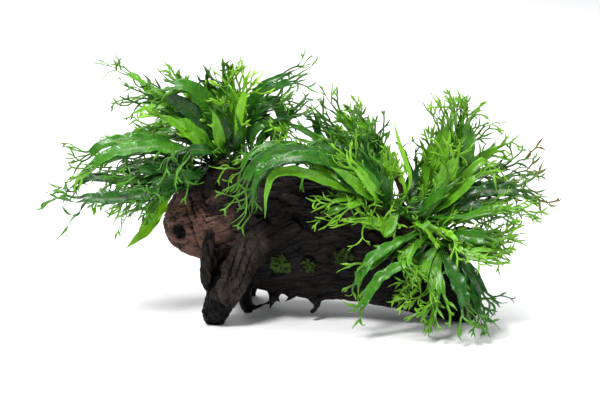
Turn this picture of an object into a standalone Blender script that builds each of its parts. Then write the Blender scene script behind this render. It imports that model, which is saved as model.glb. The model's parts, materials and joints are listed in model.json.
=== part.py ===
"""Lace-tipped java fern growing on a piece of driftwood, at its real size.

Lengths below are millimetres: X to the right, Y away from the front, Z up from the floor.
The wood is one trunk with its limbs, the fern is three creeping stems with separate leaves.
"""
import math

import bmesh
import bpy
from mathutils import Vector
from mathutils.bvhtree import BVHTree

MM = 0.001
OBJECT = "java_fern_on_driftwood"

GAP = 0.3                   # clearance between neighbouring pieces
LOG_SIDES = 22              # corners round one section of the trunk
LIMB_RESOLUTION = 2         # bevel resolution of a limb, which gives 8 sides
LEAF_THICKNESS = 1.1
PETIOLE_WIDTH = 2.2         # width of a leaf stalk
LEAF_KEEL = 0.09            # how far the midrib sinks, as a share of the width
STALK_RISE = 9.0            # straight run of a stalk before it bends
LEAF_LIFT = 1.4             # from the skin of the creeping stem to the foot of a stalk
STALK_SLOPE = 0.8           # least rise of a stalk for its run
CREST_MIDDLE_WIDTH = 3.2    # width of a crest finger half way along
CREST_END_WIDTH = 2.0
CREST_MIDDLE_SHARE = 0.55   # where the middle of a finger is, as a share of its length
CREST_MIDDLE_SPREAD = 0.36  # how far apart the fingers are there, as a share of the spread
TRAIL_STEPS = 24            # places measured along one segment of a midrib
MOSS_HEIGHT = 4.5           # half height of a moss tuft
MOSS_SEAT = 1.5             # from the trunk's skin to the middle of a tuft
RHIZOME_TAPER = 0.7         # radius at the ends of a creeping stem, as a share
DROP_HEIGHT = 300.0         # height from which places on the trunk are found
FACE_HINT = Vector((0.0, -0.7, 0.7))   # leaf faces turn to the front and up

# Unevenness of the trunk: waves round it, share of the radius, and length of one turn along it.
LOG_WAVES = [(3, 0.025, 31), (5, 0.015, -19)]

# Colour, roughness and metallic value of each material.
FINISH = {
    "wood_dark": ((0.030, 0.020, 0.016), 0.55, 0.0),
    "wood_grey": ((0.075, 0.062, 0.052), 0.60, 0.0),
    "rhizome": ((0.060, 0.075, 0.020), 0.50, 0.0),
    "moss": ((0.110, 0.190, 0.030), 0.80, 0.0),
    "leaf_dark": ((0.020, 0.110, 0.016), 0.35, 0.0),
    "leaf_mid": ((0.055, 0.220, 0.018), 0.35, 0.0),
    "leaf_light": ((0.150, 0.390, 0.045), 0.38, 0.0),
    "leaf_yellow": ((0.260, 0.480, 0.030), 0.38, 0.0),
}

# Sections of the trunk: x, y and z of the centre, and the radius there.
LOG_SECTIONS = [
    (-136, 8, 90, 7),
    (-131, 8, 91, 22),
    (-121, 8, 94, 33),
    (-110, 8, 93, 38),
    (-99, 8, 96, 44),
    (-86, 8, 96, 51),
    (-62, 6, 91, 59),
    (-38, 4, 85, 63),
    (-10, 1, 82, 63),
    (18, -4, 78, 60),
    (42, -9, 73, 55),
    (62, -14, 66, 51),
    (84, -18, 61, 49.5),
    (106, -22, 55, 46),
    (128, -25, 45, 41),
    (148, -28, 36, 35),
    (162, -31, 28, 30),
    (171, -33, 20, 22),
    (176, -34, 15, 13),
]

# Limbs of the driftwood: x, y, z and radius along the middle line of each.
FRONT_LEG = [(-43, -44, 100, 11), (-52, -58, 79, 16), (-61, -62, 59, 17),
             (-74, -58, 38, 18), (-81, -50, 20, 16), (-85, -41, 5, 13), (-86, -36, -6, 10)]
BROKEN_PRONG = [(-80, -56, 32, 7), (-90, -59, 46, 8), (-93, -60, 62, 7.5),
                (-91, -60, 80, 7.5), (-89, -58, 95, 5.5), (-88, -57, 102, 2)]
ELBOW_ROOT = [(-56, -8, 44, 9), (-56, -8, 22, 8), (-54, -7, 5, 7), (-48, -7, 3.5, 3.6),
              (-38, -10, 9, 2.8), (-29, -14, 13, 3.4), (-26, -16, 20, 5), (-29, -20, 38, 7)]
REAR_ROOT = [(-46, 38, 66, 15), (-49, 47, 40, 12), (-51, 51, 16, 9), (-52, 52, -5, 8)]
TOP_STUB = [(101, -6, 92, 5), (102, -5, 112, 4.2), (100, -5, 130, 4.5),
            (97, -6, 144, 6.5), (95, -6, 151, 3)]

# Creeping stems: x and y of points that lie on the trunk's skin, and the radius.
RHIZOME_RADIUS = 3.4
RHIZOMES = {
    "left": [(-96, 2), (-82, 6), (-66, 8), (-44, 6)],
    "middle": [(46, -28), (62, -33), (80, -35), (98, -34)],
    "right": [(106, -22), (118, -32), (132, -42), (148, -50)],
}

# Moss: x and y or z of the place, the direction it is reached from, and the half sizes.
MOSS = {
    "moss_front_large": ((-20, -150, 66), (0, 1, 0), (10, 9)),
    "moss_front_dark": ((9, -150, 66), (0, 1, 0), (6, 6)),
    "moss_front_right": ((42, -150, 73), (0, 1, 0), (6, 7)),
    "moss_ridge": ((-103, -14, 200), (0, 0, -1), (8, 5)),
}

# Leaves of each creeping stem, from its left end to its right end: name, points along the
# midrib after the foot, blade width, spread of the forked crest, and colour. The crest
# starts at the last point but one. A spread of 0 is a plain tip.
LEAVES = {
    "left": [
        ("left_low_reach", [(-108, -40, 144), (-147, -62, 138), (-186, -72, 137),
                            (-217, -76, 139), (-233, -76, 127), (-256, -74, 110)],
         14, 26, "leaf_dark"),
        ("left_hanging_yellow", [(-110, 4, 150), (-124, -1, 138), (-137, -6, 119),
                                 (-153, -12, 89), (-174, -18, 70)], 16, 0, "leaf_yellow"),
        ("left_big_arch", [(-104, -22, 164), (-138, -38, 177), (-172, -48, 181),
                           (-197, -54, 179), (-210, -56, 171), (-234, -58, 159)],
         19, 44, "leaf_mid"),
        ("left_front_droop", [(-88, -32, 174), (-110, -48, 178), (-125, -64, 168),
                              (-126, -79, 128)], 10, 44, "leaf_dark"),
        ("left_light_mid", [(-88, -8, 172), (-110, -16, 194), (-134, -22, 203),
                            (-150, -24, 202), (-176, -22, 191)], 13, 26, "leaf_light"),
        ("left_dark_crest", [(-105, 30, 174), (-141, 30, 207), (-159, 28, 215),
                             (-193, 20, 222)], 13, 34, "leaf_dark"),
        ("left_far_reach", [(-111, 46, 182), (-153, 58, 216), (-181, 66, 233),
                            (-216, 62, 235)], 15, 34, "leaf_light"),
        ("left_dark_mid", [(-88, 2, 184), (-110, -6, 210), (-130, -14, 225),
                           (-152, -20, 215)], 17, 14, "leaf_dark"),
        ("left_quilted_arch", [(-76, 10, 185), (-95, 0, 218), (-113, -10, 235),
                               (-126, -15, 236), (-147, -20, 242)], 21, 20, "leaf_mid"),
        ("left_short_pale", [(-78, -16, 176), (-81, -22, 195), (-86, -26, 213)],
         11, 0, "leaf_light"),
        ("left_rear_dark", [(-79, 42, 183), (-89, 48, 213), (-90, 48, 231),
                            (-101, 46, 244)], 15, 14, "leaf_dark"),
        ("left_wide_upright", [(-67, 28, 180), (-74, 32, 211), (-78, 34, 229),
                               (-75, 34, 248)], 18, 24, "leaf_mid"),
        ("left_bright_upright", [(-60, 4, 190), (-66, -2, 223), (-76, -6, 243),
                                 (-82, -8, 262)], 10, 56, "leaf_yellow"),
        ("left_dark_arch", [(-46, 14, 186), (-48, 4, 214), (-38, -2, 227), (-20, -6, 234),
                            (-4, -10, 241), (22, -12, 254)], 12, 40, "leaf_dark"),
        ("left_brown_arch", [(-50, 20, 180), (-42, 18, 207), (-27, 16, 213),
                             (-16, 12, 201), (-16, 8, 176), (-22, 6, 166)],
         12, 0, "leaf_mid"),
    ],
    "middle": [
        ("mid_under_arch", [(50, -58, 138), (24, -74, 155), (-5, -84, 167),
                            (-26, -90, 165), (-32, -92, 150), (-34, -90, 121)],
         13, 8, "leaf_light"),
        ("mid_long_hanging", [(44, -42, 162), (10, -56, 179), (-20, -72, 184),
                              (-41, -82, 179), (-51, -92, 162), (-56, -94, 146),
                              (-80, -92, 118)], 12, 60, "leaf_mid"),
        ("mid_front_fork", [(58, -66, 130), (45, -76, 129), (35, -80, 121),
                            (14, -82, 111)], 7, 34, "leaf_light"),
        ("mid_big_arch", [(59, -52, 150), (29, -70, 172), (0, -84, 182),
                          (-24, -92, 178), (-41, -96, 166), (-47, -94, 128)],
         17, 4, "leaf_mid"),
        ("mid_bright_front", [(71, -62, 134), (54, -74, 152), (41, -82, 164),
                              (30, -86, 171)], 13, 4, "leaf_light"),
        ("mid_left_lace", [(40, -14, 155), (0, -30, 169), (-28, -44, 177),
                           (-59, -50, 195)], 9, 40, "leaf_light"),
        ("mid_narrow_reach", [(50, -4, 152), (25, -10, 175), (0, -16, 193),
                              (-20, -20, 197), (-38, -22, 201)], 7, 16, "leaf_mid"),
        ("mid_curved_dark", [(52, 8, 142), (25, 4, 171), (15, 0, 193),
                             (16, -2, 207), (0, -6, 214)], 9, 20, "leaf_dark"),
        ("mid_low_wide", [(68, -26, 142), (45, -24, 165), (25, -26, 178),
                          (5, -28, 183)], 15, 14, "leaf_dark"),
        ("mid_long_one", [(68, 14, 148), (45, 14, 174), (25, 12, 193),
                          (3, 10, 213)], 14, 36, "leaf_mid"),
        ("mid_dark_wide", [(75, -14, 145), (62, -14, 171), (50, -14, 189),
                           (36, -16, 204)], 15, 16, "leaf_dark"),
        ("mid_long_two", [(73, 30, 149), (51, 36, 182), (30, 38, 205),
                          (18, 38, 226)], 12, 28, "leaf_light"),
        ("mid_cluster", [(82, 0, 144), (74, 4, 168), (70, 6, 182),
                         (70, 8, 208)], 12, 30, "leaf_dark"),
        ("mid_bright_upright", [(85, -40, 148), (87, -42, 169), (88, -42, 189)],
         12, 10, "leaf_light"),
        ("mid_yellow_narrow", [(109, -34, 143), (103, -36, 168), (96, -36, 188),
                               (92, -36, 204)], 9, 0, "leaf_yellow"),
        ("mid_front_spray", [(88, -66, 104), (76, -78, 102), (70, -86, 112),
                             (66, -90, 135)], 10, 64, "leaf_light"),
    ],
    "right": [
        ("right_rear_crest", [(126, 12, 122), (157, 25, 154), (171, 28, 176),
                              (192, 30, 193)], 12, 34, "leaf_mid"),
        ("right_tall", [(132, -3, 126), (139, 5, 149), (146, 12, 174), (151, 12, 199),
                        (139, 10, 228)], 13, 30, "leaf_light"),
        ("right_red_tip", [(161, 24, 114), (202, 34, 125), (222, 38, 138),
                           (233, 40, 146), (253, 42, 158)], 7, 26, "leaf_mid"),
        ("right_bright_fork", [(148, -4, 125), (170, 2, 146), (186, 2, 162),
                               (203, 0, 170), (222, -4, 170)], 10, 22, "leaf_light"),
        ("right_folded", [(144, -20, 123), (165, -24, 143), (166, -24, 172),
                          (163, -22, 202), (173, -20, 228)], 14, 36, "leaf_mid"),
        ("right_wide_bright", [(134, -40, 127), (146, -44, 149), (153, -44, 172),
                               (156, -42, 190)], 13, 8, "leaf_light"),
        ("right_long", [(150, -32, 117), (178, -32, 132), (208, -30, 136),
                        (233, -28, 136), (262, -26, 135)], 14, 34, "leaf_dark"),
        ("right_low_reach", [(153, -44, 110), (187, -48, 118), (212, -50, 119),
                             (226, -50, 124), (248, -50, 128)], 9, 14, "leaf_light"),
        ("right_droop_a", [(90, -76, 90), (70, -86, 80), (59, -92, 64),
                           (53, -94, 48), (42, -94, 34)], 15, 22, "leaf_mid"),
        ("right_pale_fork", [(112, -80, 88), (106, -97, 79), (114, -104, 70),
                             (130, -106, 61)], 7, 22, "leaf_light"),
        ("right_droop_b", [(112, -78, 76), (89, -98, 72), (73, -104, 60),
                           (63, -106, 42), (56, -108, 28), (41, -110, 20)],
         14, 20, "leaf_mid"),
        ("right_mid_fan", [(152, -62, 95), (181, -72, 97), (200, -76, 94),
                           (222, -78, 93)], 14, 26, "leaf_mid"),
        ("right_lace_low", [(124, -84, 72), (120, -94, 56), (112, -98, 45),
                            (95, -100, 34)], 8, 30, "leaf_light"),
        ("right_low_leaf", [(134, -88, 70), (138, -104, 50), (136, -112, 32),
                            (126, -116, 16)], 9, 16, "leaf_light"),
        ("right_hanging", [(143, -82, 80), (153, -102, 61), (160, -112, 42),
                           (163, -116, 29), (173, -121, 8)], 15, 32, "leaf_dark"),
        ("right_low_tip", [(154, -74, 80), (176, -84, 79), (192, -88, 76),
                           (206, -90, 71)], 9, 6, "leaf_light"),
    ],
}

# Rows of a blade: share of the way to the crest, and share of the full width.
BLADE_ROWS = [(0.0, 0.0), (0.14, 0.1), (0.32, 0.6), (0.5, 0.95), (0.68, 1.0), (0.85, 0.8), (1.0, 0.5)]
PLAIN_ROWS = [(0.0, 0.0), (0.16, 0.15), (0.36, 0.7), (0.56, 1.0), (0.78, 0.75), (1.0, 0.0)]


def clear_scene():
    for thing in list(bpy.data.objects):
        bpy.data.objects.remove(thing)


def new_collection(name):
    group = bpy.data.collections.new(name)
    bpy.context.scene.collection.children.link(group)
    return group


def material(name, finish):
    colour, roughness, metallic = FINISH[finish]
    made = bpy.data.materials.new(name)
    made.use_nodes = True
    shader = made.node_tree.nodes["Principled BSDF"]
    shader.inputs["Base Color"].default_value = (*colour, 1.0)
    shader.inputs["Roughness"].default_value = roughness
    shader.inputs["Metallic"].default_value = metallic
    return made


def add_object(name, mesh, group, finish=None):
    thing = bpy.data.objects.new(name, mesh)
    group.objects.link(thing)
    if finish:
        mesh.materials.clear()
        mesh.materials.append(material(name, finish))
    else:
        thing.hide_render = True
        thing.display_type = "WIRE"
    return thing


def smooth_point(points, along):
    """A point of the Catmull-Rom curve through points, at a place counted in segments."""
    last = len(points) - 1
    start = min(int(along), last - 1)
    t = along - start
    p1 = points[start]
    p2 = points[start + 1]
    p0 = points[start - 1] if start > 0 else p1 * 2 - p2
    p3 = points[start + 2] if start + 2 <= last else p2 * 2 - p1
    return 0.5 * (2 * p1 + (p2 - p0) * t + (2 * p0 - 5 * p1 + 4 * p2 - p3) * t * t
                  + (3 * p1 - p0 - 3 * p2 + p3) * t ** 3)


def cut_at_floor(mesh):
    """Everything below Z = 0 is cut off, which leaves a flat face to stand on."""
    bm = bmesh.new()
    bm.from_mesh(mesh)
    everything = bm.verts[:] + bm.edges[:] + bm.faces[:]
    cut = bmesh.ops.bisect_plane(bm, geom=everything, dist=1e-7, plane_co=(0, 0, 0),
                                 plane_no=(0, 0, 1), clear_inner=True)
    rim = [edge for edge in cut["geom_cut"] if isinstance(edge, bmesh.types.BMEdge)]
    if rim:
        bmesh.ops.edgeloop_fill(bm, edges=rim)
    bmesh.ops.recalc_face_normals(bm, faces=bm.faces)
    bm.to_mesh(mesh)
    bm.free()


def log_mesh(grow):
    """The trunk as a loft between its uneven round sections."""
    bm = bmesh.new()
    rings = []
    for x, y, z, radius in LOG_SECTIONS:
        ring = []
        for corner in range(LOG_SIDES):
            angle = math.tau * corner / LOG_SIDES
            uneven = 1 + sum(share * math.sin(waves * angle + x / turn)
                             for waves, share, turn in LOG_WAVES)
            reach = radius * uneven + grow
            spot = Vector((x + grow * x / LOG_SECTIONS[-1][0],
                           y + reach * math.cos(angle), z + reach * math.sin(angle)))
            ring.append(bm.verts.new(spot * MM))
        rings.append(ring)
    for first, second in zip(rings, rings[1:]):
        for corner in range(LOG_SIDES):
            following = (corner + 1) % LOG_SIDES
            bm.faces.new((first[corner], first[following], second[following], second[corner]))
    bm.faces.new(rings[0])
    bm.faces.new(rings[-1])
    bmesh.ops.triangulate(bm, faces=bm.faces, quad_method="FIXED")
    bmesh.ops.recalc_face_normals(bm, faces=bm.faces)
    mesh = bpy.data.meshes.new("trunk")
    bm.to_mesh(mesh)
    bm.free()
    return mesh


def tube_mesh(name, path, grow=0.0, resolution=3):
    """A closed mesh round a smooth line of points, each with its own radius."""
    curve = bpy.data.curves.new(name, "CURVE")
    curve.dimensions = "3D"
    curve.bevel_depth = MM
    curve.bevel_resolution = LIMB_RESOLUTION
    curve.use_fill_caps = True
    spline = curve.splines.new("POLY")
    knots = [Vector(point) for point in path]
    count = (len(knots) - 1) * resolution
    spline.points.add(count)
    for index, target in enumerate(spline.points):
        place = smooth_point(knots, index / resolution)
        target.co = (*(place.xyz * MM), 1.0)
        target.radius = place.w + grow
    tube = bpy.data.objects.new(name, curve)
    bpy.context.scene.collection.objects.link(tube)
    bpy.context.view_layer.update()
    evaluated = tube.evaluated_get(bpy.context.evaluated_depsgraph_get())
    mesh = bpy.data.meshes.new_from_object(evaluated)
    bpy.data.objects.remove(tube)
    bm = bmesh.new()
    bm.from_mesh(mesh)
    bmesh.ops.remove_doubles(bm, verts=bm.verts, dist=1e-6)
    bmesh.ops.triangulate(bm, faces=bm.faces, quad_method="FIXED")
    bmesh.ops.recalc_face_normals(bm, faces=bm.faces)
    bm.to_mesh(mesh)
    bm.free()
    return mesh


def cut_away(thing, cutter):
    cut = thing.modifiers.new("clear of " + cutter.name, "BOOLEAN")
    cut.operation = "DIFFERENCE"
    cut.solver = "EXACT"
    cut.object = cutter


def add_limb(name, path, group, finish, cutters):
    mesh = tube_mesh(name, path)
    cut_at_floor(mesh)
    limb = add_object(name, mesh, group, finish)
    for cutter in cutters:
        cut_away(limb, cutter)
    return limb


def leaf_rows(points, rows):
    """Middle point, direction and width share of each row, spaced by length."""
    steps = TRAIL_STEPS * (len(points) - 1)
    trail = [smooth_point(points, index / TRAIL_STEPS) for index in range(steps + 1)]
    lengths = [0.0]
    for first, second in zip(trail, trail[1:]):
        lengths.append(lengths[-1] + (second - first).length)
    found = []
    for share, width in rows:
        goal = share * lengths[-1]
        index = min(range(len(lengths)), key=lambda k: abs(lengths[k] - goal))
        before = trail[max(index - 1, 0)]
        after = trail[min(index + 1, steps)]
        found.append((trail[index], (after - before).normalized(), width))
    return found


def add_leaf(name, foot, foot_way, points, width, spread, finish, group):
    """An open blade of three lines of points, forked at its crest, made solid by Solidify."""
    knots = [foot, foot + foot_way * STALK_RISE] + [Vector(point) for point in points]
    crest_end = knots.pop() if spread else None
    rows = leaf_rows(knots, BLADE_ROWS if spread else PLAIN_ROWS)
    bm = bmesh.new()
    previous = None
    for middle, way, share in rows:
        across = way.cross(FACE_HINT).normalized()
        face = across.cross(way)
        half = max(PETIOLE_WIDTH, share * width) / 2
        sink = face * LEAF_KEEL * 2 * half
        row = [bm.verts.new((middle + across * side * half - sink * (side == 0)) * MM)
               for side in (-1, 0, 1)]
        if previous:
            bm.faces.new((previous[0], previous[1], row[1], row[0]))
            bm.faces.new((previous[1], previous[2], row[2], row[1]))
        previous = row
    if crest_end:
        add_crest(bm, previous, middle, crest_end, spread)
    mesh = bpy.data.meshes.new(name)
    bm.to_mesh(mesh)
    bm.free()
    leaf = add_object(name, mesh, group, finish)
    shell = leaf.modifiers.new("thickness", "SOLIDIFY")
    shell.thickness = LEAF_THICKNESS * MM
    shell.offset = 0.0
    return leaf


def add_crest(bm, last_row, middle, crest_end, spread):
    """Two fingers that stand for the lace of the tip and reach as far as it does."""
    reach = crest_end - middle
    across = reach.cross(FACE_HINT).normalized()
    joints = [(CREST_MIDDLE_SHARE, CREST_MIDDLE_SPREAD, CREST_MIDDLE_WIDTH / 2),
              (1.0, 0.5, CREST_END_WIDTH / 2)]
    for side, pair in ((-1, last_row[:2]), (1, last_row[1:])):
        inner, outer = pair
        finger = (reach.normalized() + across * side * (spread / (reach.length * 2))).normalized()
        edge = (across - finger * across.dot(finger)).normalized()
        for part, spread_share, half in joints:
            centre = middle + reach * part + across * side * spread * spread_share
            left = bm.verts.new((centre - edge * half) * MM)
            right = bm.verts.new((centre + edge * half) * MM)
            bm.faces.new((inner, outer, right, left))
            inner, outer = left, right


def rest_on(tree, origin, way):
    """Where a straight line from origin meets the trunk, and the direction out of it there."""
    spot, normal = tree.ray_cast(Vector(origin) * MM, Vector(way))[:2]
    return spot / MM, normal


def add_rhizome(name, places, tree, cutter, group):
    path = []
    for x, y in places:
        spot, normal = rest_on(tree, (x, y, DROP_HEIGHT), (0, 0, -1))
        path.append((*(spot + normal * (RHIZOME_RADIUS + GAP)), RHIZOME_RADIUS))
    for end in (0, -1):
        path[end] = (*path[end][:3], RHIZOME_RADIUS * RHIZOME_TAPER)
    add_limb(name, path, group, "rhizome", [cutter])
    return [Vector(point) for point in path]


def add_moss(name, origin, way, sizes, tree, group, cutters):
    spot, normal = rest_on(tree, origin, way)
    bpy.ops.mesh.primitive_ico_sphere_add(subdivisions=2, radius=MM)
    tuft = bpy.context.object
    mesh = tuft.data
    bpy.data.objects.remove(tuft)
    turn = normal.to_track_quat("Z", "Y")
    half_sizes = Vector((*sizes, MOSS_HEIGHT))
    for vertex in mesh.vertices:
        vertex.co = turn @ (vertex.co * half_sizes) + (spot + normal * MOSS_SEAT) * MM
    moss = add_object(name, mesh, group, "moss")
    for cutter in cutters:
        cut_away(moss, cutter)


def centre_over_origin(parts, cutters):
    """The frame's origin is under the middle of the whole object, on the floor."""
    bpy.context.view_layer.update()
    graph = bpy.context.evaluated_depsgraph_get()
    corners = []
    for part in parts.objects:
        solid = part.evaluated_get(graph).data
        corners += [vertex.co.copy() for vertex in solid.vertices]
    middle_x = (min(co.x for co in corners) + max(co.x for co in corners)) / 2
    middle_y = (min(co.y for co in corners) + max(co.y for co in corners)) / 2
    frame = bpy.data.objects.new("frame", None)
    parts.objects.link(frame)
    for part in list(parts.objects) + list(cutters.objects):
        if part != frame:
            part.parent = frame
    frame.location = (-middle_x, -middle_y, 0)


def build():
    clear_scene()
    parts = new_collection(OBJECT)
    cutters = new_collection("cutters")

    trunk = log_mesh(0.0)
    cut_at_floor(trunk)
    add_object("log", trunk, parts, "wood_dark")
    bm = bmesh.new()
    bm.from_mesh(trunk)
    tree = BVHTree.FromBMesh(bm)
    bm.free()
    log_cutter = add_object("log_cutter", log_mesh(GAP), cutters)
    leg_cutter = add_object("leg_cutter", tube_mesh("leg_cutter", FRONT_LEG, GAP), cutters)

    add_limb("front_leg", FRONT_LEG, parts, "wood_grey", [log_cutter])
    add_limb("broken_prong", BROKEN_PRONG, parts, "wood_grey", [leg_cutter])
    add_limb("elbow_root", ELBOW_ROOT, parts, "wood_dark", [log_cutter])
    add_limb("rear_root", REAR_ROOT, parts, "wood_dark", [log_cutter])
    add_limb("top_stub", TOP_STUB, parts, "wood_grey", [log_cutter])
    for name, (origin, way, sizes) in MOSS.items():
        add_moss(name, origin, way, sizes, tree, parts, [log_cutter])

    for side, places in RHIZOMES.items():
        axis = add_rhizome("rhizome_" + side, places, tree, log_cutter, parts)
        plants = LEAVES[side]
        for index, (name, points, width, spread, finish) in enumerate(plants):
            place = (index + 0.5) / len(plants) * (len(axis) - 1)
            centre = smooth_point(axis, place).xyz
            way = Vector(points[0]) - centre
            way.z = max(way.z, STALK_SLOPE * math.hypot(way.x, way.y))
            along = smooth_point(axis, place + 0.01).xyz - centre
            outward = way - along * (way.dot(along) / along.length_squared)
            foot = centre + outward.normalized() * (RHIZOME_RADIUS + LEAF_LIFT)
            add_leaf(name, foot, way.normalized(), points, width, spread, finish, parts)
    centre_over_origin(parts, cutters)


build()
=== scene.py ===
"""Looks of the java fern on driftwood: quilted fronds with lace tips, wet wood, moss and root hairs.

Lengths in the tables are millimetres in the frame of the CAD model: X to the right, Y away
from the front, Z up from the floor.
"""

import math
import random

import bmesh
import bpy
import numpy as np
from mathutils import Matrix, Vector, noise
from mathutils.bvhtree import BVHTree
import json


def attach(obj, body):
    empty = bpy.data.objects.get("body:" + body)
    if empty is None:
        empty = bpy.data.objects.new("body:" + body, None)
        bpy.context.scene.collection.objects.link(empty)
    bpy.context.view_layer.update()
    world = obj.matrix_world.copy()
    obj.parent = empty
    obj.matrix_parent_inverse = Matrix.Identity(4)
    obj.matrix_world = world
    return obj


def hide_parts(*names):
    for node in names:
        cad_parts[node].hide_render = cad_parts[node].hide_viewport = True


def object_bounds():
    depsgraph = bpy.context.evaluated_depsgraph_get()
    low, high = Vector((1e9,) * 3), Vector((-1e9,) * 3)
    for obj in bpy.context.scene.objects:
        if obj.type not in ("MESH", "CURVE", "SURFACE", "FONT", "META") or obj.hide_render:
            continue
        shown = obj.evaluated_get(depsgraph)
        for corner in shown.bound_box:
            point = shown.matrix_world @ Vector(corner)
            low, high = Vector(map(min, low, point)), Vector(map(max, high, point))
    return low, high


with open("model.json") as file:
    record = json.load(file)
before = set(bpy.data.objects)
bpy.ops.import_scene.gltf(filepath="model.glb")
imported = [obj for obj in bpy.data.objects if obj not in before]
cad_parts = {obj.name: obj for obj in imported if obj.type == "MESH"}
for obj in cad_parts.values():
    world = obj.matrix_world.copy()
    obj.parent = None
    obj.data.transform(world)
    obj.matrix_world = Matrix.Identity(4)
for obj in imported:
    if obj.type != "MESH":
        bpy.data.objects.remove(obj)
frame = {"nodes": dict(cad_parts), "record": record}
cad_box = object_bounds()

MM = 0.001
FACE_HINT = Vector((0.0, -0.7, 0.7))    # leaf faces turn to the front and up

# Fronds.
ROW_STEP = 1.5              # from one row of a blade to the next
BLADE_COLUMNS = 5           # faces on each side of the midrib
SLIM_HALF = 5               # a blade up to this half width is drawn more coarsely
SLIM_STEP = 2.4
SLIM_COLUMNS = 3
STALK_SHARES = (0.08, 0.3)  # where along a frond its stalk starts and stops turning into blade
KEEL = 0.10                 # how far the midrib sinks, as a share of the blade's width
QUILT_PITCH = 4.4           # from one side vein to the next
QUILT_SLANT = 0.35          # how far a side vein leans outward, as a share of its length
QUILT_HEIGHT = 0.40
QUILTINGS = (0.2, 0.4, 0.7, 0.9)   # how strongly a blade is quilted, at random
TWIST = (17, 36)            # degrees: usual and greatest twist from foot to tip
MARGIN_WAVE = 0.22          # height of the margin's waves, as a share of the half width
MARGIN_WAVINESS = 1.2       # how strongly most blades have them
MARGIN_UNEVEN = 0.13        # how far the margin strays in or out, as a share of the half width
MARGIN_SWING = 0.045        # and how far it does so with its waves
BLADE_THICKNESS = 1.2       # of a stalk
THIN_SHARE = 0.34           # of that, in the thinnest part of a blade
LACE_SHARE = 0.45           # of that, in a ribbon of lace
STRAND_STEP = 1.9           # from one row of a ribbon to the next
STRAND_WIDTH = (1.9, 5.4)   # least and greatest width of a ribbon
FORK_SPACING = (0.18, 0.4)  # from one fork to the next, as a share of the whole crest
FORK_ANGLE = (12, 34)       # degrees to each side
FORK_DEPTH = 3              # greatest number of forks from the blade to a tip
SHORTEST_TIP, LONGEST_TIP = 5.0, 20.0
SHOOT_WIDTH = 3.2           # of a lobe that grows out of a blade's margin
SMALL_WHOLE, SMALL_LACY = 0.82, 0.3

# Half width along a blade, as shares of its length and of its greatest half width.
FORKED_PROFILE = [(0.0, 0.13), (0.14, 0.14), (0.3, 0.5), (0.5, 0.95), (0.68, 1.0), (0.86, 0.8), (1.0, 0.5)]
PLAIN_PROFILE = [(0.0, 0.13), (0.16, 0.16), (0.36, 0.7), (0.56, 1.0), (0.78, 0.75), (0.93, 0.3), (1.0, 0.04)]

# Each plant: how pale it is, the share of a frond that is whole blade before its lace starts,
# and how many slender fronds grow beside each frond.
PLANTS = {"left": dict(tone=0.0, whole=0.93, slender=2),
          "mid": dict(tone=0.3, whole=0.92, slender=2),
          "right": dict(tone=0.05, whole=0.84, slender=4)}
SLOT_TONES = {"leaf_dark": -0.5, "leaf_mid": 0.0, "leaf_light": 0.35, "leaf_yellow": 0.6}

# How single fronds differ from their plant's. A tone below 0 is darker. The relief is how
# strongly the blade is quilted and how wavy its margins are. The width is a share of its
# solid's. A bend raises the middle and lowers the end. Browned is the share of lace or margin
# that has gone brown. A plain frond has one point, though its solid ends in a narrow crest.
# One that stands alone has no slender fronds beside it. Young is how many young fronds from
# anywhere on the same creeping stem are drawn with it.
USUAL_LOOK = dict(tone=0.0, whole=None, relief=None, width=1.0, bend=0.0, browned=0.0,
                  young=0, plain=False, alone=False)
FROND_LOOKS = {
    "left_big_arch": dict(relief=(1.5, 0.8), width=0.86, bend=9.0),
    "left_bright_upright": dict(tone=-0.6, whole=0.8, relief=(0.4, 2.0)),
    "left_brown_arch": dict(tone=0.2, browned=0.8),
    "left_dark_arch": dict(tone=0.85, relief=(0.6, 1.5)),
    "left_dark_mid": dict(whole=0.98, relief=(1.9, 0.8), young=16),
    "left_far_reach": dict(tone=-0.2, bend=-2.0),
    "left_front_droop": dict(whole=0.72),
    "left_hanging_yellow": dict(alone=True),
    "left_light_mid": dict(tone=-0.4, relief=(1.5, 1.2), bend=5.0),
    "left_low_reach": dict(whole=0.84, bend=5.0),
    "left_quilted_arch": dict(whole=0.98, relief=(1.9, 0.8)),
    "left_short_pale": dict(browned=0.25, alone=True),
    "mid_big_arch": dict(tone=-0.75, whole=0.98, relief=(2.0, 1.2), width=0.86, plain=True, alone=True),
    "mid_bright_front": dict(tone=-0.35, whole=0.98, relief=(1.5, 1.3), plain=True, alone=True),
    "mid_cluster": dict(whole=0.8),
    "mid_front_fork": dict(whole=0.75),
    "mid_front_spray": dict(tone=-0.4, whole=0.7),
    "mid_left_lace": dict(whole=0.78),
    "mid_long_hanging": dict(tone=-1.1),
    "mid_long_one": dict(relief=(0.8, 1.6), young=14),
    "mid_under_arch": dict(tone=-0.5, whole=0.98, relief=(0.5, 1.8), width=0.8, plain=True, alone=True),
    "mid_yellow_narrow": dict(relief=(0.3, 2.6), width=0.5, alone=True),
    "right_bright_fork": dict(whole=0.92),
    "right_droop_a": dict(whole=0.92, relief=(0.9, 2.2), width=0.74, alone=True),
    "right_droop_b": dict(whole=0.92, relief=(1.2, 2.3), width=0.78, alone=True),
    "right_folded": dict(whole=0.96, relief=(0.7, 1.9)),
    "right_hanging": dict(whole=0.88, relief=(0.8, 1.9)),
    "right_lace_low": dict(tone=-0.7, whole=0.7),
    "right_long": dict(relief=(0.7, 1.9), bend=4.0, browned=0.55),
    "right_low_leaf": dict(tone=-0.6, whole=0.76),
    "right_mid_fan": dict(whole=0.76, young=26),
    "right_pale_fork": dict(tone=-0.4),
    "right_rear_crest": dict(whole=0.92),
    "right_red_tip": dict(browned=0.75),
    "right_tall": dict(whole=0.98, relief=(0.7, 1.9)),
    "right_wide_bright": dict(tone=0.2, whole=0.97, alone=True),
}

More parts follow.
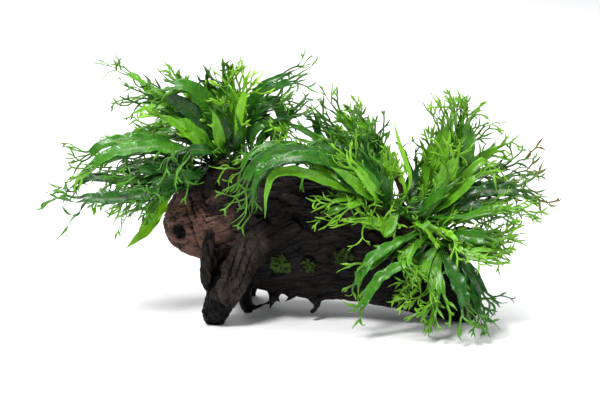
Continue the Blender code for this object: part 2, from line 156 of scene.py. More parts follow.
# Fronds beyond the separate solids, each drawn with the frond whose solid reaches as far:
# share of the way along the creeping stem, midrib after the foot, width, spread of the
# crest (0 for a plain tip) and tone. The last point is the crest's end.
SMALL_FRONDS = {
    "left_hanging_yellow": [
        (0.05, [(-116, 21, 139), (-146, 16, 112), (-165, 12, 109), (-185, 8, 102)], 6, 0, 0.4),
        (0.02, [(-110, 25, 142), (-134, 18, 120), (-150, 16, 106), (-172, 14, 94)], 7, 12, -0.8),
        (0.10, [(-108, 10, 142), (-148, -8, 128), (-184, -18, 123), (-222, -24, 110)], 9, 28, 0.2)],
    "left_low_reach": [
        (0.08, [(-106, 0, 148), (-140, -16, 158), (-176, -28, 157), (-214, -34, 143)], 10, 32, 0.1),
        (0.12, [(-104, 4, 144), (-138, -14, 143), (-165, -28, 137), (-205, -40, 130)], 10, 30, 0.6),
        (0.06, [(-106, 14, 146), (-136, 4, 148), (-166, -6, 144), (-196, -12, 128)], 9, 30, -0.6),
        (0.09, [(-104, -4, 142), (-132, -24, 138), (-158, -36, 130), (-186, -46, 116)], 9, 28, 0.1),
        (0.03, [(-112, 8, 140), (-142, -2, 132), (-170, -10, 124), (-204, -18, 120)], 8, 26, 0.7),
        (0.16, [(-100, -10, 150), (-128, -30, 152), (-152, -40, 146), (-178, -48, 134)], 8, 24, -0.3),
        (0.05, [(-112, 24, 150), (-142, 22, 157), (-168, 18, 154), (-202, 14, 142)], 10, 36, -0.8),
        (0.04, [(-112, 30, 144), (-140, 30, 142), (-164, 28, 132), (-190, 26, 114)], 10, 34, -0.7),
        (0.08, [(-108, 20, 156), (-136, 14, 168), (-160, 8, 171), (-194, 4, 166)], 10, 36, -0.3),
        (0.10, [(-104, -8, 150), (-128, -26, 146), (-150, -38, 132), (-172, -48, 112)], 9, 30, 0.2),
        (0.06, [(-110, 10, 142), (-134, 0, 132), (-152, -8, 118), (-170, -14, 99)], 8, 26, 0.5),
        (0.03, [(-114, 26, 148), (-150, 20, 150), (-186, 12, 144), (-226, 4, 130)], 9, 34, -0.5)],
    "left_dark_arch": [
        (0.9, [(-46, 44, 184), (-38, 46, 212), (-24, 46, 226), (-6, 44, 244)], 11, 30, 0.2),
        (0.95, [(-40, 24, 180), (-24, 14, 200), (-10, 8, 206), (12, 2, 210)], 9, 26, -0.4),
        (0.97, [(-36, 40, 176), (-12, 44, 196), (8, 44, 208), (30, 42, 226)], 10, 34, 0.4)],
    "left_bright_upright": [
        (0.8, [(-58, 34, 190), (-58, 36, 220), (-52, 34, 238), (-44, 32, 258)], 11, 30, 0.3),
        (0.7, [(-62, 20, 192), (-56, 14, 224), (-46, 10, 240), (-34, 6, 256)], 9, 30, 0.6)],
    "left_light_mid": [
        (0.30, [(-95, 30, 184), (-124, 25, 206), (-146, 22, 212), (-168, 20, 205)], 14, 0, 0.0)],
    "mid_big_arch": [
        (0.18, [(49, 0, 157), (19, -14, 179), (-5, -20, 186), (-20, -32, 182)], 13, 12, -0.8)],
    "mid_long_one": [
        (0.50, [(74, 48, 148), (58, 66, 179), (47, 72, 196), (40, 74, 212)], 8, 12, 0.1)],
    "mid_cluster": [
        (0.92, [(111, 12, 140), (111, 14, 160), (109, 16, 184)], 11, 22, -0.7)],
    "mid_front_spray": [
        (0.45, [(82, -36, 109), (65, -48, 114), (54, -54, 112), (32, -58, 104)], 9, 30, 0.7)],
    "right_bright_fork": [
        (0.35, [(148, -4, 130), (170, -2, 155), (185, 0, 163), (196, -5, 154), (205, -8, 134)],
         9, 20, 0.6)],
    "right_low_reach": [
        (0.60, [(156, -26, 107), (190, -32, 119), (217, -34, 118), (232, -34, 97)], 7, 20, 0.1),
        (0.40, [(153, 4, 105), (180, 6, 106), (207, 8, 97)], 11, 30, 0.2),
        (0.50, [(160, -14, 113), (183, -18, 112), (209, -20, 100)], 7, 26, 0.9)],
    "right_droop_a": [
        (0.30, [(95, -46, 92), (77, -52, 76), (60, -54, 62), (42, -54, 47)], 9, 16, 0.7)],
    "right_lace_low": [
        (0.55, [(127, -58, 64), (126, -64, 48), (118, -68, 36), (104, -70, 21)], 8, 28, 0.6),
        (0.45, [(118, -44, 110), (131, -58, 106), (141, -66, 90)], 13, 16, 0.1)],
    "right_low_tip": [
        (0.60, [(146, -50, 100), (158, -62, 88), (146, -66, 75)], 6, 16, 1.0),
        (0.75, [(152, -56, 90), (165, -66, 81), (184, -70, 70)], 6, 18, 1.0)],
}

# Driftwood. The skin is remeshed at this size and then smoothed this many times.
SKIN_VOXEL, SKIN_TURNS = ((1.45, 26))
FLOOR_BAND = 0.6            # what is as low as this stays on the floor
SPUR_SIDES = 9
BACK_MIRROR = 30            # the back has the front's pits and cracks, with X taken from this

# Pits as seen from the front: X and Z of the middle, radius, depth and how much shade is painted in it.
LOG_PITS = [(-121, 88, 7.0, 6.0, 1.0), (-108, 95, 2.4, 2.5, 0.6), (-51, 122, 6.5, 5.0, 0.9),
            (-122, 70, 4.0, 2.0, 0.6), (70, 66, 4.0, 2.0, 0.5), (-20, 60, 5.0, 2.5, 0.7),
            (150, 22, 6.0, 3.0, 0.5), (8, 66, 7.5, 2.0, 0.9)]
# Cracks as seen from the front: X and Z of both ends, half width and depth.
LOG_CRACKS = [((-57, 120), (-25, 107), 1.6, 3.4), ((-15, 118), (20, 92), 1.5, 3.0),
              ((-36, 134), (-10, 128), 1.8, 3.2), ((2, 124), (44, 118), 1.6, 3.0),
              ((20, 112), (70, 96), 1.2, 2.2), ((-115, 116), (-96, 62), 1.2, 1.8),
              ((-20, 88), (34, 60), 1.3, 2.0), ((60, 88), (110, 70), 1.2, 2.0),
              ((80, 60), (150, 40), 1.2, 1.8), ((-77, 68), (-92, 40), 2.6, 6.0),
              ((-62, 88), (-76, 42), 1.0, 2.0), ((-52, 92), (-66, 50), 1.0, 1.6),
              ((-46, 84), (-62, 44), 0.9, 1.6), ((-128, 104), (-112, 84), 1.0, 1.6),
              ((-112, 130), (-104, 100), 1.0, 1.8), ((-96, 96), (-86, 70), 1.0, 1.6)]
# The broken end of the front leg lies below this line of the front view, and left of this X.
BREAK_LINE = ((-93, 38), (-66, 20))
BREAK_EDGE = -58
BREAK_RINGS = (-62, 34)     # centre of the growth rings on it
# The hollow between the front leg and the prong, where shade is painted on its front faces: X and Z ranges,
# and the Y that it is behind.
HOLLOW = ((-94, -64), (34, 82), -29)
# Spurs, shards and swellings that grow out of the wood: x, y, z and radius along each.
SPURS = [
    [(-26, 2, 36, 9), (-27, -4, 24, 6), (-31, -8, 13, 2.4), (-28, -10, 9, 1.4)],
    [(-12, 0, 34, 8), (-8, -7, 26, 4.5), (-13, -9, 21, 2.4), (-18, -9, 20, 1.4)],
    [(10, -2, 34, 9), (12, -8, 25, 5.5), (17, -10, 18, 3), (14, -12, 12, 1.8), (9, -12, 9, 1.3)],
    [(36, -4, 33, 7), (30, -10, 27, 4), (22, -12, 25, 2.2), (17, -12, 25, 1.4)],
    [(-118, 14, 118, 6), (-122, 6, 131, 4), (-120, 2, 142, 1.2)],
    [(-111, 12, 122, 6), (-115, 2, 137, 4), (-112, -4, 145, 1.2)],
    [(-104, 10, 126, 8), (-106, 0, 140, 5), (-100, -6, 152, 1.6)],
    [(-97, 8, 130, 8), (-92, -2, 146, 5), (-95, -6, 155, 1.6)],
    [(-86, 4, 132, 8), (-84, -8, 144, 4.5), (-79, -13, 150, 1.6)],
    [(-70, 14, 132, 12), (-52, -20, 126, 9), (-34, -36, 118, 4)],
    [(-44, -14, 128, 12), (-8, -32, 126, 10), (30, -36, 112, 5)],
    [(10, -12, 120, 10), (44, -30, 112, 8), (80, -36, 90, 4)],
    [(160, -8, 38, 14), (170, -12, 32, 8), (174, -14, 30, 4)],
    [(150, 0, 20, 16), (166, -14, 14, 8), (175, -14, 14, 3)],
    [(-24, 4, 108, 20), (-40, -12, 98, 16), (-52, -30, 82, 13)],
    [(-84, -24, 16, 10), (-92, -30, 14, 6), (-98, -32, 9, 2.5)],
    [(-86, -24, 44, 7), (-85, -23, 60, 8), (-82, -18, 76, 9)],
    [(-79, -26, 20, 9), (-83, -32, 34, 6.5), (-90, -33, 46, 6)],
    [(-92, -33, 76, 7), (-90, -32, 88, 6.5), (-89, -31, 100, 5.4)],
    [(-56, 16, 56, 12), (-56, 18, 38, 9), (-56, 18, 24, 7)],
    [(-28, 8, 46, 9), (-28, 8, 34, 6), (-27, 9, 22, 4)],
    [(-29, 8, 24, 4.5), (-22, 4, 18, 3), (-20, 2, 13, 1.5)],
    [(-44, 54, 78, 18), (-47, 64, 60, 14), (-49, 72, 42, 11)],
    [(-49, 72, 46, 10), (-58, 78, 30, 7), (-63, 84, 14, 4.5), (-61, 88, 3, 3)],
    [(-47, 70, 40, 9), (-41, 74, 26, 5), (-36, 76, 14, 2.5), (-37, 78, 6, 1.5)],
    [(-20, 56, 44, 12), (-14, 62, 30, 6), (-10, 64, 22, 2.5)],
    [(60, 40, 40, 12), (66, 44, 26, 6), (72, 44, 19, 2.5)],
    [(100, 16, 84, 9), (101, 19, 94, 6), (102, 20, 104, 4)],
]


# ---------------------------------------------------------------- shader and node helpers

class Term:
    """A number on a surface. Sums of terms add the Math nodes that work them out."""

    def __init__(self, finish, socket):
        self.finish = finish
        self.socket = socket

    def work(self, operation, *values, clamp=False):
        node = self.finish.add("ShaderNodeMath", {"operation": operation, "use_clamp": clamp},
                               dict(enumerate(values)))
        return Term(self.finish, node.outputs[0])

    def __add__(self, other):
        return self.work("ADD", self, other)

    def __sub__(self, other):
        return self.work("SUBTRACT", self, other)

    def __rsub__(self, other):
        return self.work("SUBTRACT", other, self)

    def __mul__(self, other):
        return self.work("MULTIPLY", self, other)

    def __truediv__(self, other):
        return self.work("DIVIDE", self, other)

    def __pow__(self, other):
        return self.work("POWER", self, other)

    def __abs__(self):
        return self.work("ABSOLUTE", self)

    __radd__ = __add__

    def wave(self):
        """A sine of this many turns, from 0 to 1."""
        return self.work("SINE", self * math.tau) * 0.5 + 0.5

    def between(self, low, high):
        """0 below low, 1 above high, and even between them."""
        return self.work("MULTIPLY", self - low, 1 / (high - low), clamp=True)


class Finish:
    """One material, and the nodes that make it."""

    def __init__(self, name):
        self.material = bpy.data.materials.new(name)
        self.material.use_nodes = True
        self.tree = self.material.node_tree
        self.tree.nodes.clear()

    def add(self, kind, settings=None, inputs=None):
        """A node, with each input a value, a socket to link or a term."""
        node = self.tree.nodes.new(kind)
        for key, value in (settings or {}).items():
            setattr(node, key, value)
        for key, value in (inputs or {}).items():
            if isinstance(value, Term):
                self.tree.links.new(value.socket, node.inputs[key])
            elif isinstance(value, bpy.types.NodeSocket):
                self.tree.links.new(value, node.inputs[key])
            else:
                node.inputs[key].default_value = value
        return node

    def stretched(self, sizes, turn=(0, 0, 0)):
        """Object coordinates counted in lengths of these sizes, in millimetres."""
        scale = [1 / (size * MM) for size in sizes]
        place = self.add("ShaderNodeTexCoord").outputs["Object"]
        mapping = self.add("ShaderNodeMapping", {}, {"Vector": place, "Scale": scale, "Rotation": turn})
        return mapping.outputs[0]

    def cloud(self, vector, detail=3.0, roughness=0.5, distortion=0.0):
        """Soft noise from 0 to 1."""
        node = self.add("ShaderNodeTexNoise", {}, {
            "Vector": vector, "Scale": 1.0, "Detail": detail, "Roughness": roughness,
            "Distortion": distortion})
        return Term(self, node.outputs["Fac"])

    def cells(self, vector):
        """Distance to the nearest of many scattered points."""
        node = self.add("ShaderNodeTexVoronoi", {}, {"Vector": vector, "Scale": 1.0})
        return Term(self, node.outputs["Distance"])

    def painted(self, name):
        """The three numbers that a mesh carries under this name."""
        node = self.add("ShaderNodeAttribute", {"attribute_name": name})
        split = self.add("ShaderNodeSeparateXYZ", {}, {0: node.outputs["Vector"]})
        return [Term(self, socket) for socket in split.outputs]

    def blend(self, factor, first, second):
        """The first colour where factor is 0, the second where it is 1."""
        first, second = [(*c, 1) if isinstance(c, tuple) else c for c in (first, second)]
        node = self.add("ShaderNodeMix", {"data_type": "RGBA"}, {0: factor, 6: first, 7: second})
        return node.outputs[2]

    def bump(self, height, distance, strength):
        """A surface direction roughened by this height, whose full range is distance."""
        inputs = {"Height": height, "Distance": distance * MM, "Strength": strength}
        return self.add("ShaderNodeBump", {}, inputs).outputs[0]

    def surface(self, colour, roughness, normal=None, **fixed):
        """The finished material; fixed values are named as the shader's sockets."""
        inputs = {"Base Color": colour, "Roughness": roughness}
        if normal:
            inputs["Normal"] = normal
        inputs.update({key.replace("_", " "): value for key, value in fixed.items()})
        shader = self.add("ShaderNodeBsdfPrincipled", {}, inputs)
        self.add("ShaderNodeOutputMaterial", {}, {"Surface": shader.outputs[0]})
        return self.material


def frond_finish(name, deep, mid, sheen, tip):
    """Leaf green with a brown midrib, a painted sheen on the tops of the quilting, darker side veins with
    painted shade in the quilting's valleys, and bright lace at the tip.
    """
    finish = Finish(name)
    along, across, lace = finish.painted("blade")
    tone, browned, chance = finish.painted("mood")
    side = abs(across)
    quilt = ((along * 100 - side * (QUILT_PITCH * 1.2)) / QUILT_PITCH + across * 0.15).wave()
    on_blade = side.between(0.08, 0.3) * (1 - lace.between(0.0, 0.15))
    mottle = finish.cloud(finish.stretched((9, 9, 9)), detail=3)
    fine = finish.cloud(finish.stretched((1.1, 1.1, 1.1)), detail=3, roughness=0.65)
    foot = 1 - along.between(0.05, 0.45)
    # mottled tone of each frond, darker at its foot, a little lighter on the quilt tops as painted light
    colour = finish.blend((mottle * 0.9 + tone * 0.3 + chance * 0.2 + quilt * 0.05 * on_blade
                           - foot * 0.35).between(0.2, 0.95), deep, mid)
    # painted sheen: a pale highlight on the tops of the quilted bumps
    colour = finish.blend((quilt ** 4) * on_blade * 0.16 * mottle.between(0.45, 0.6), colour, sheen)
    # darker in the valleys between the quilted bumps: the side veins' own darker green, with painted shade in
    # these creases
    colour = finish.blend(((1 - quilt) ** 6) * on_blade * 0.12, colour,
                          tuple(value * 0.5 for value in deep))
    colour = finish.blend((1 - side.between(0.02, 0.09)) * (1 - lace.between(0.0, 0.1)) * 0.55,
                          colour, (0.10, 0.080, 0.015))
    colour = finish.blend((lace ** 0.7) * (0.42 + chance * 0.45 + tone * 0.3).between(0.0, 1.0),
                          colour, tip)
    spots = finish.cells(finish.stretched((6, 6, 6)))
    withered = ((lace * 1.1 + side * 0.25) * browned + (mottle - 0.5) * browned).between(0.25, 0.75)
    colour = finish.blend(withered, colour, (0.16, 0.055, 0.016))
    colour = finish.blend((0.16 - spots).between(0.0, 0.05) * (chance - 0.55).between(0.0, 0.3) * 0.7,
                          colour, (0.05, 0.04, 0.012))
    height = fine * 0.6 + quilt * on_blade * 0.12
    rough = 0.15 + fine * 0.2
    return finish.surface(colour, rough, finish.bump(height, 0.35, 0.7), Specular_IOR_Level=0.3)


def wood_finish(name, dark, light, grey, red):
    """Wet, weathered wood with lengthwise grain and dark fine cracks. Pits, carved cracks, the hollow, low
    places and the underside carry painted shade; up-facing faces are painted paler for light from above and
    silt, and ridges carry a painted pale highlight.
    """
    finish = Finish(name)
    relief, shade_and_dark_parts, warm = finish.painted("wood")
    limb, paler, _ = finish.painted("limb")

    def along_grain(size, detail):
        on_trunk = finish.cloud(finish.stretched((size * 11, size, size), (0, math.radians(14), 0)),
                                detail, 0.68, distortion=0.3)
        on_limb = finish.cloud(finish.stretched((size, size, size * 12), (0, math.radians(-24), 0)),
                               detail, 0.68, distortion=0.25)
        return on_trunk * (1 - limb) + on_limb * limb

    grain = along_grain(7, 6)
    fibres = along_grain(2.0, 4)
    patches = finish.cloud(finish.stretched((24, 24, 24)), detail=4)
    # grain and patches are the wood's own colour; where the relief is low it gets painted shade
    shade = (grain * 0.6 + relief * 0.9 + patches * 0.5 - 0.72).between(0.0, 0.7)
    # paler: greyer wood on the front leg and the stub, the paler cut end, and up-facing faces painted paler
    # for light from above, with silt
    colour = finish.blend(paler, finish.blend(shade, dark, light),
                          finish.blend(shade, tuple(value * 1.3 for value in dark), grey))
    reddened = warm * (patches * 0.8 + relief * 0.5 - 0.1).between(0.15, 0.5)
    colour = finish.blend(reddened, colour, finish.blend(grain.between(0.3, 0.7),
                                                         tuple(value * 0.45 for value in red), red))
    # painted pale highlight along the raised fibres of the ridges
    colour = finish.blend(fibres.between(0.58, 0.75) * relief.between(0.45, 0.8) * 0.6, colour,
                          tuple(min(value * 1.7, 0.5) for value in grey))
    crack = (0.46 - fibres).between(0.0, 0.07)
    colour = finish.blend(crack * 0.85, colour, tuple(value * 0.35 for value in dark))
    # painted shade in the low places of the relief
    colour = finish.blend(1 - relief.between(0.12, 0.36), colour, tuple(value * 0.3 for value in dark))
    # painted shade in pits, carved cracks, the hollow and under the trunk, and the darker broken end and
    # prong
    colour = finish.blend(shade_and_dark_parts, colour, tuple(value * 0.2 for value in dark))
    normal = finish.bump(grain * 0.8 + fibres * 0.6, 1.7, 1.0)
    rough = 0.3 + fibres * 0.36
    return finish.surface(colour, rough, normal, Specular_IOR_Level=0.085)


def plain_growth_finish(name, dark, light, roughness, size, depth):
    """Small growth: two colours in patches, with a fine rough skin."""
    finish = Finish(name)
    patches = finish.cloud(finish.stretched((size, size, size)), detail=5, roughness=0.6)
    fine = finish.cloud(finish.stretched((size / 6,) * 3), detail=3, roughness=0.7)
    colour = finish.blend((patches * 0.6 + fine * 0.5).between(0.35, 0.75), dark, light)
    return finish.surface(colour, roughness + fine * 0.2, finish.bump(fine, depth, 0.8),
                          Specular_IOR_Level=0.15)


def floor_finish():
    """The studio floor's plain finish."""
    finish = Finish("pale_floor")
    soft = finish.cloud(finish.stretched((240, 240, 240)), detail=2)
    colour = finish.blend(soft * 0.3, (0.86, 0.86, 0.86), (0.83, 0.83, 0.83))
    return finish.surface(colour, 0.75, Specular_IOR_Level=0.2)


# ---------------------------------------------------------------- meshes

def linked(name, data):
    """A new object of the scene that shows this data."""
    thing = bpy.data.objects.new(name, data)
    bpy.context.scene.collection.objects.link(thing)
    return thing


def baked(holder, name):
    """The plain mesh that an object's modifiers make of it; the object itself goes."""
    made = bpy.data.meshes.new_from_object(
        holder.evaluated_get(bpy.context.evaluated_depsgraph_get()))
    holder.modifiers.clear()
    bpy.data.objects.remove(holder)
    made.name = name
    return made


def paint(mesh, name, values):
    """Gives each point of a mesh three numbers, which its material reads by this name."""
    layer = mesh.attributes.new(name, "FLOAT_VECTOR", "POINT")
    layer.data.foreach_set("vector", np.array(values, np.float32).ravel())


def dressed(mesh, material):
    """The mesh, smoothly shaded and with one material."""
    mesh.shade_smooth()
    mesh.materials.clear()
    mesh.materials.append(material)
    return mesh


def mesh_points(mesh):
    """The points of a mesh in millimetres, one to a row."""
    spots = np.empty(len(mesh.vertices) * 3, np.float32)
    mesh.vertices.foreach_get("co", spots)
    return spots.reshape(-1, 3).astype(float) / MM


def mesh_normals(mesh):
    """The normal at each point of a mesh, one to a row."""
    ways = np.empty(len(mesh.vertices) * 3, np.float32)
    mesh.vertices.foreach_get("normal", ways)
    return ways.reshape(-1, 3).astype(float)


def set_points(mesh, spots):
    """Moves a mesh's points to these places, in millimetres."""
    mesh.vertices.foreach_set("co", (spots * MM).astype(np.float32).ravel())
    mesh.update()


def relaxed(mesh, spots, turns):
    """The points after each has moved towards its neighbours this many times."""
    pairs = np.empty(len(mesh.edges) * 2, np.int32)
    mesh.edges.foreach_get("vertices", pairs)
    first, second = pairs.reshape(-1, 2).T
    count = len(spots)
    degree = np.bincount(first, minlength=count) + np.bincount(second, minlength=count)
    for _ in range(turns):
        total = np.stack([np.bincount(first, spots[second, k], count)
                          + np.bincount(second, spots[first, k], count) for k in range(3)], 1)
        spots = spots * 0.4 + total / degree[:, None] * 0.6
    return spots


def remeshed(name, bm, voxel):
    """An even skin over everything in bm, as a mesh; bm is used up."""
    mesh = bpy.data.meshes.new(name)
    bm.to_mesh(mesh)
    bm.free()
    holder = linked(name, mesh)
    skin = holder.modifiers.new("skin", "REMESH")
    skin.mode = "VOXEL"
    skin.voxel_size = voxel * MM
    return baked(holder, name)


def merged(node):
    """A copy of a CAD node's mesh, with its loose triangles joined up."""
    bm = bmesh.new()
    bm.from_mesh(frame["nodes"][node].data)
    bmesh.ops.remove_doubles(bm, verts=bm.verts, dist=1e-6)
    return bm


def tree_of(node):
    """A search tree over a CAD node's faces."""
    bm = merged(node)
    tree = BVHTree.FromBMesh(bm)
    bm.free()
    return tree


def slot_of(node):
    """The material slot that the CAD record gives a node."""
    for part in frame["record"]["subparts"]:
        if part["node"] == node:
            return part["material_slot"]
    return None


def finish_piece(name, meshes, nodes):
    """One piece of several meshes, each with its own materials, in place of these CAD nodes."""
    things = [linked(name, mesh) for mesh in meshes]
    if len(things) > 1:
        with bpy.context.temp_override(active_object=things[0], selected_editable_objects=things):
            bpy.ops.object.join()
    piece = things[0]
    piece.name = name
    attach(piece, "root")
    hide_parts(*nodes)
    slot_of(nodes[0])


# ---------------------------------------------------------------- curves

def smooth_point(points, place):
    """A point of the Catmull-Rom curve through points, at a place counted in segments."""
    last = len(points) - 1
    start = min(int(place), last - 1)
    t = place - start
    p1 = points[start]
    p2 = points[start + 1]
    p0 = points[start - 1] if start > 0 else p1 * 2 - p2
    p3 = points[start + 2] if start + 2 <= last else p2 * 2 - p1
    return 0.5 * (2 * p1 + (p2 - p0) * t + (2 * p0 - 5 * p1 + 4 * p2 - p3) * t * t
                  + (3 * p1 - p0 - 3 * p2 + p3) * t ** 3)


def even_trail(points, step):
    """Rows at even spacing along the smooth curve through points, and the curve's length.

    The first three numbers of a row are its place; any others, such as a width, are carried along.
    """
    fine = np.array([smooth_point(points, k / 16) for k in range(16 * (len(points) - 1) + 1)])
    strides = np.linalg.norm(np.diff(fine[:, :3], axis=0), axis=1)
    lengths = np.concatenate(([0.0], np.cumsum(strides)))
    places = np.linspace(0, lengths[-1], max(4, round(lengths[-1] / step)) + 1)
    rows = np.stack([np.interp(places, lengths, column) for column in fine.T], 1)
    return rows, lengths[-1]


# ---------------------------------------------------------------- fronds

class Sheet:
    """The points, faces and paint of one piece of fronds, while it is drawn.

    A point's blade paint is how far along and across the blade it is and how far out in the
    lace. Its mood is its frond's tone, how browned it is and a chance number.
    """

    def __init__(self):
        self.points = []
        self.faces = []
        self.blade = []
        self.mood = []
        self.thickness = []
        self.feeling = (0.0, 0.0, 0.5)

    def point(self, spot, along, across, lace, thickness):
        self.points.append(spot * MM)
        self.blade.append((along / 100, across, lace))
        self.mood.append(self.feeling)
        self.thickness.append(thickness)
        return len(self.points) - 1

    def mesh(self, name):
        """A closed mesh: the sheet with its thickness."""
        flat = bpy.data.meshes.new(name + "_flat")
        flat.from_pydata(self.points, [], self.faces)
        paint(flat, "blade", self.blade)
        paint(flat, "mood", self.mood)
        holder = linked(name + "_flat", flat)
        group = holder.vertex_groups.new(name="thickness")
        for index, value in enumerate(self.thickness):
            group.add([index], value, "REPLACE")
        shell = holder.modifiers.new("thickness", "SOLIDIFY")
        shell.thickness = BLADE_THICKNESS * MM
        shell.offset = 0.0
        shell.vertex_group = "thickness"
        shell.thickness_vertex_group = 0.0
        return baked(holder, name)


def level(low, high, value):
    """0 to 1 between low and high, smooth at both ends."""
    share = min(max((value - low) / (high - low), 0.0), 1.0)
    return share * share * (3 - 2 * share)


def wander(*place):
    """Smooth noise from about -1 to 1."""
    return noise.noise(Vector(place))


class BladeRelief:
    """How a blade's margins stray and how far its face rises, at each place on it."""

    def __init__(self, dice, relief):
        self.quilting, self.waviness = relief or (dice.choice(QUILTINGS), MARGIN_WAVINESS)
        self.waves = [(dice.uniform(15, 26), dice.uniform(0, math.tau), dice.uniform(0.6, 1.3))
                      for _ in ("left", "right")]
        self.offset = dice.uniform(0, 50)

    def swing(self, along, right):
        """Size of a margin's waves, and where in its wave a place lies."""
        wave, phase, size = self.waves[int(right)]
        return size, math.tau * along / wave + phase

    def reach(self, along, u, half):
        """How far from the midrib's line the margin would be, were it at this place."""
        right = u > 0
        turn = self.swing(along, right)[1]
        strays = MARGIN_UNEVEN * wander(along / 7, self.offset + right * 9, 0) * abs(u)
        return half * (1 + strays + MARGIN_SWING * self.waviness * math.sin(turn + 1.2) * abs(u))

    def quilt(self, along, u, half):
        """Height of the bumps between the side veins."""
        side = abs(u)
        uneven = wander(along / 11, self.offset + (u > 0) * 5, 3)
        veins = (along - side * half * QUILT_SLANT * 2) / QUILT_PITCH + 0.15 * u + 0.9 * uneven
        bumps = QUILT_HEIGHT * self.quilting * math.sin(math.tau * veins - math.pi / 2)
        bumps *= level(0.1, 0.5, side) * (1 - 0.7 * level(0.75, 1.0, side))
        bumps *= 0.65 + 0.7 * abs(wander(along / 13, u * 1.5, self.offset + 20))
        return bumps * level(2.0, 5.0, half)

    def height(self, along, u, half):
        side = abs(u)
        size, turn = self.swing(along, u > 0)
        ripple = MARGIN_WAVE * half * size * side ** 3 * math.sin(turn) * self.waviness
        ripple *= 0.35 + 1.3 * abs(wander(along / 24, self.offset + 40, u > 0))
        cup = KEEL * 2 * half * (side ** 1.3 - 0.4)
        soft = 0.9 * wander(along / 12, u * half / 8, self.offset) * side
        return self.quilt(along, u, half) + ripple + cup + soft


def steady_frames(spots):
    """The way along a line at each of its points, and a way across it that turns gently."""
    last = len(spots) - 1
    ways = [(spots[min(k + 1, last)] - spots[max(k - 1, 0)]).normalized() for k in range(last + 1)]
    sides = []
    for way in ways:
        across = way.cross(FACE_HINT)
        if sides and across.dot(sides[-1]) < 0:
            across.negate()
        sides.append((across + (sides[-1] if sides else Vector()) * 0.35).normalized())
    for _ in range(4):
        sides = [(sides[max(k - 1, 0)] + sides[k] * 2 + sides[min(k + 1, last)]).normalized()
                 for k in range(last + 1)]
    return ways, sides


def draw_blade(sheet, midrib, dice, plain, relief=None):
    """The stalk and the quilted blade. Gives back its last row and both margins with their frames."""
    slim = max(row.w for row in midrib) <= SLIM_HALF
    columns = SLIM_COLUMNS if slim else BLADE_COLUMNS
    rows, length = even_trail(midrib, SLIM_STEP if slim else ROW_STEP)
    spots = [Vector(row[:3]) for row in rows]
    halves = [max(row[3], 0.15 if plain else 0.7) for row in rows]
    ways, sides = steady_frames(spots)
    usual, greatest = TWIST
    twist = math.radians(min(max(dice.gauss(0, usual), -greatest), greatest))
    blade = BladeRelief(dice, relief)
    previous = None
    margins = []
    for index, (spot, way, across, half) in enumerate(zip(spots, ways, sides, halves)):
        along = length * index / (len(spots) - 1)
        share = along / length
        turned = Matrix.Rotation(twist * level(0.1, 1.0, share), 3, way) @ across
        turned = (turned - way * turned.dot(way)).normalized()
        face = turned.cross(way)
        stalk = 1 - level(*STALK_SHARES, share)
        row = []
        for column in range(-columns, columns + 1):
            u = column / columns
            height = blade.height(along, u, half) * (1 - stalk)
            rib = math.exp(-(u * half / 0.6) ** 2)
            thickness = max(THIN_SHARE, stalk, 0.75 * rib * (1 - 0.6 * share))
            place = spot + turned * (u * blade.reach(along, u, half)) + face * height
            row.append(sheet.point(place, along, u, 0.0, thickness))
        if previous:
            sheet.faces += [(previous[k], previous[k + 1], row[k + 1], row[k]) for k in range(2 * columns)]
        previous = row
        margins.append((row[0], row[-1], spot, way, turned, half))
    return previous, margins


def kept_in_box(spot, margin):
    """The spot, brought back where it is more than margin outside the CAD model's box."""
    low, high = (corner / MM for corner in cad_box)
    return Vector((min(max(spot.x, low.x - margin), high.x + margin),
                   min(max(spot.y, low.y - margin), high.y + margin),
                   min(max(spot.z, 1.0), high.z + margin)))


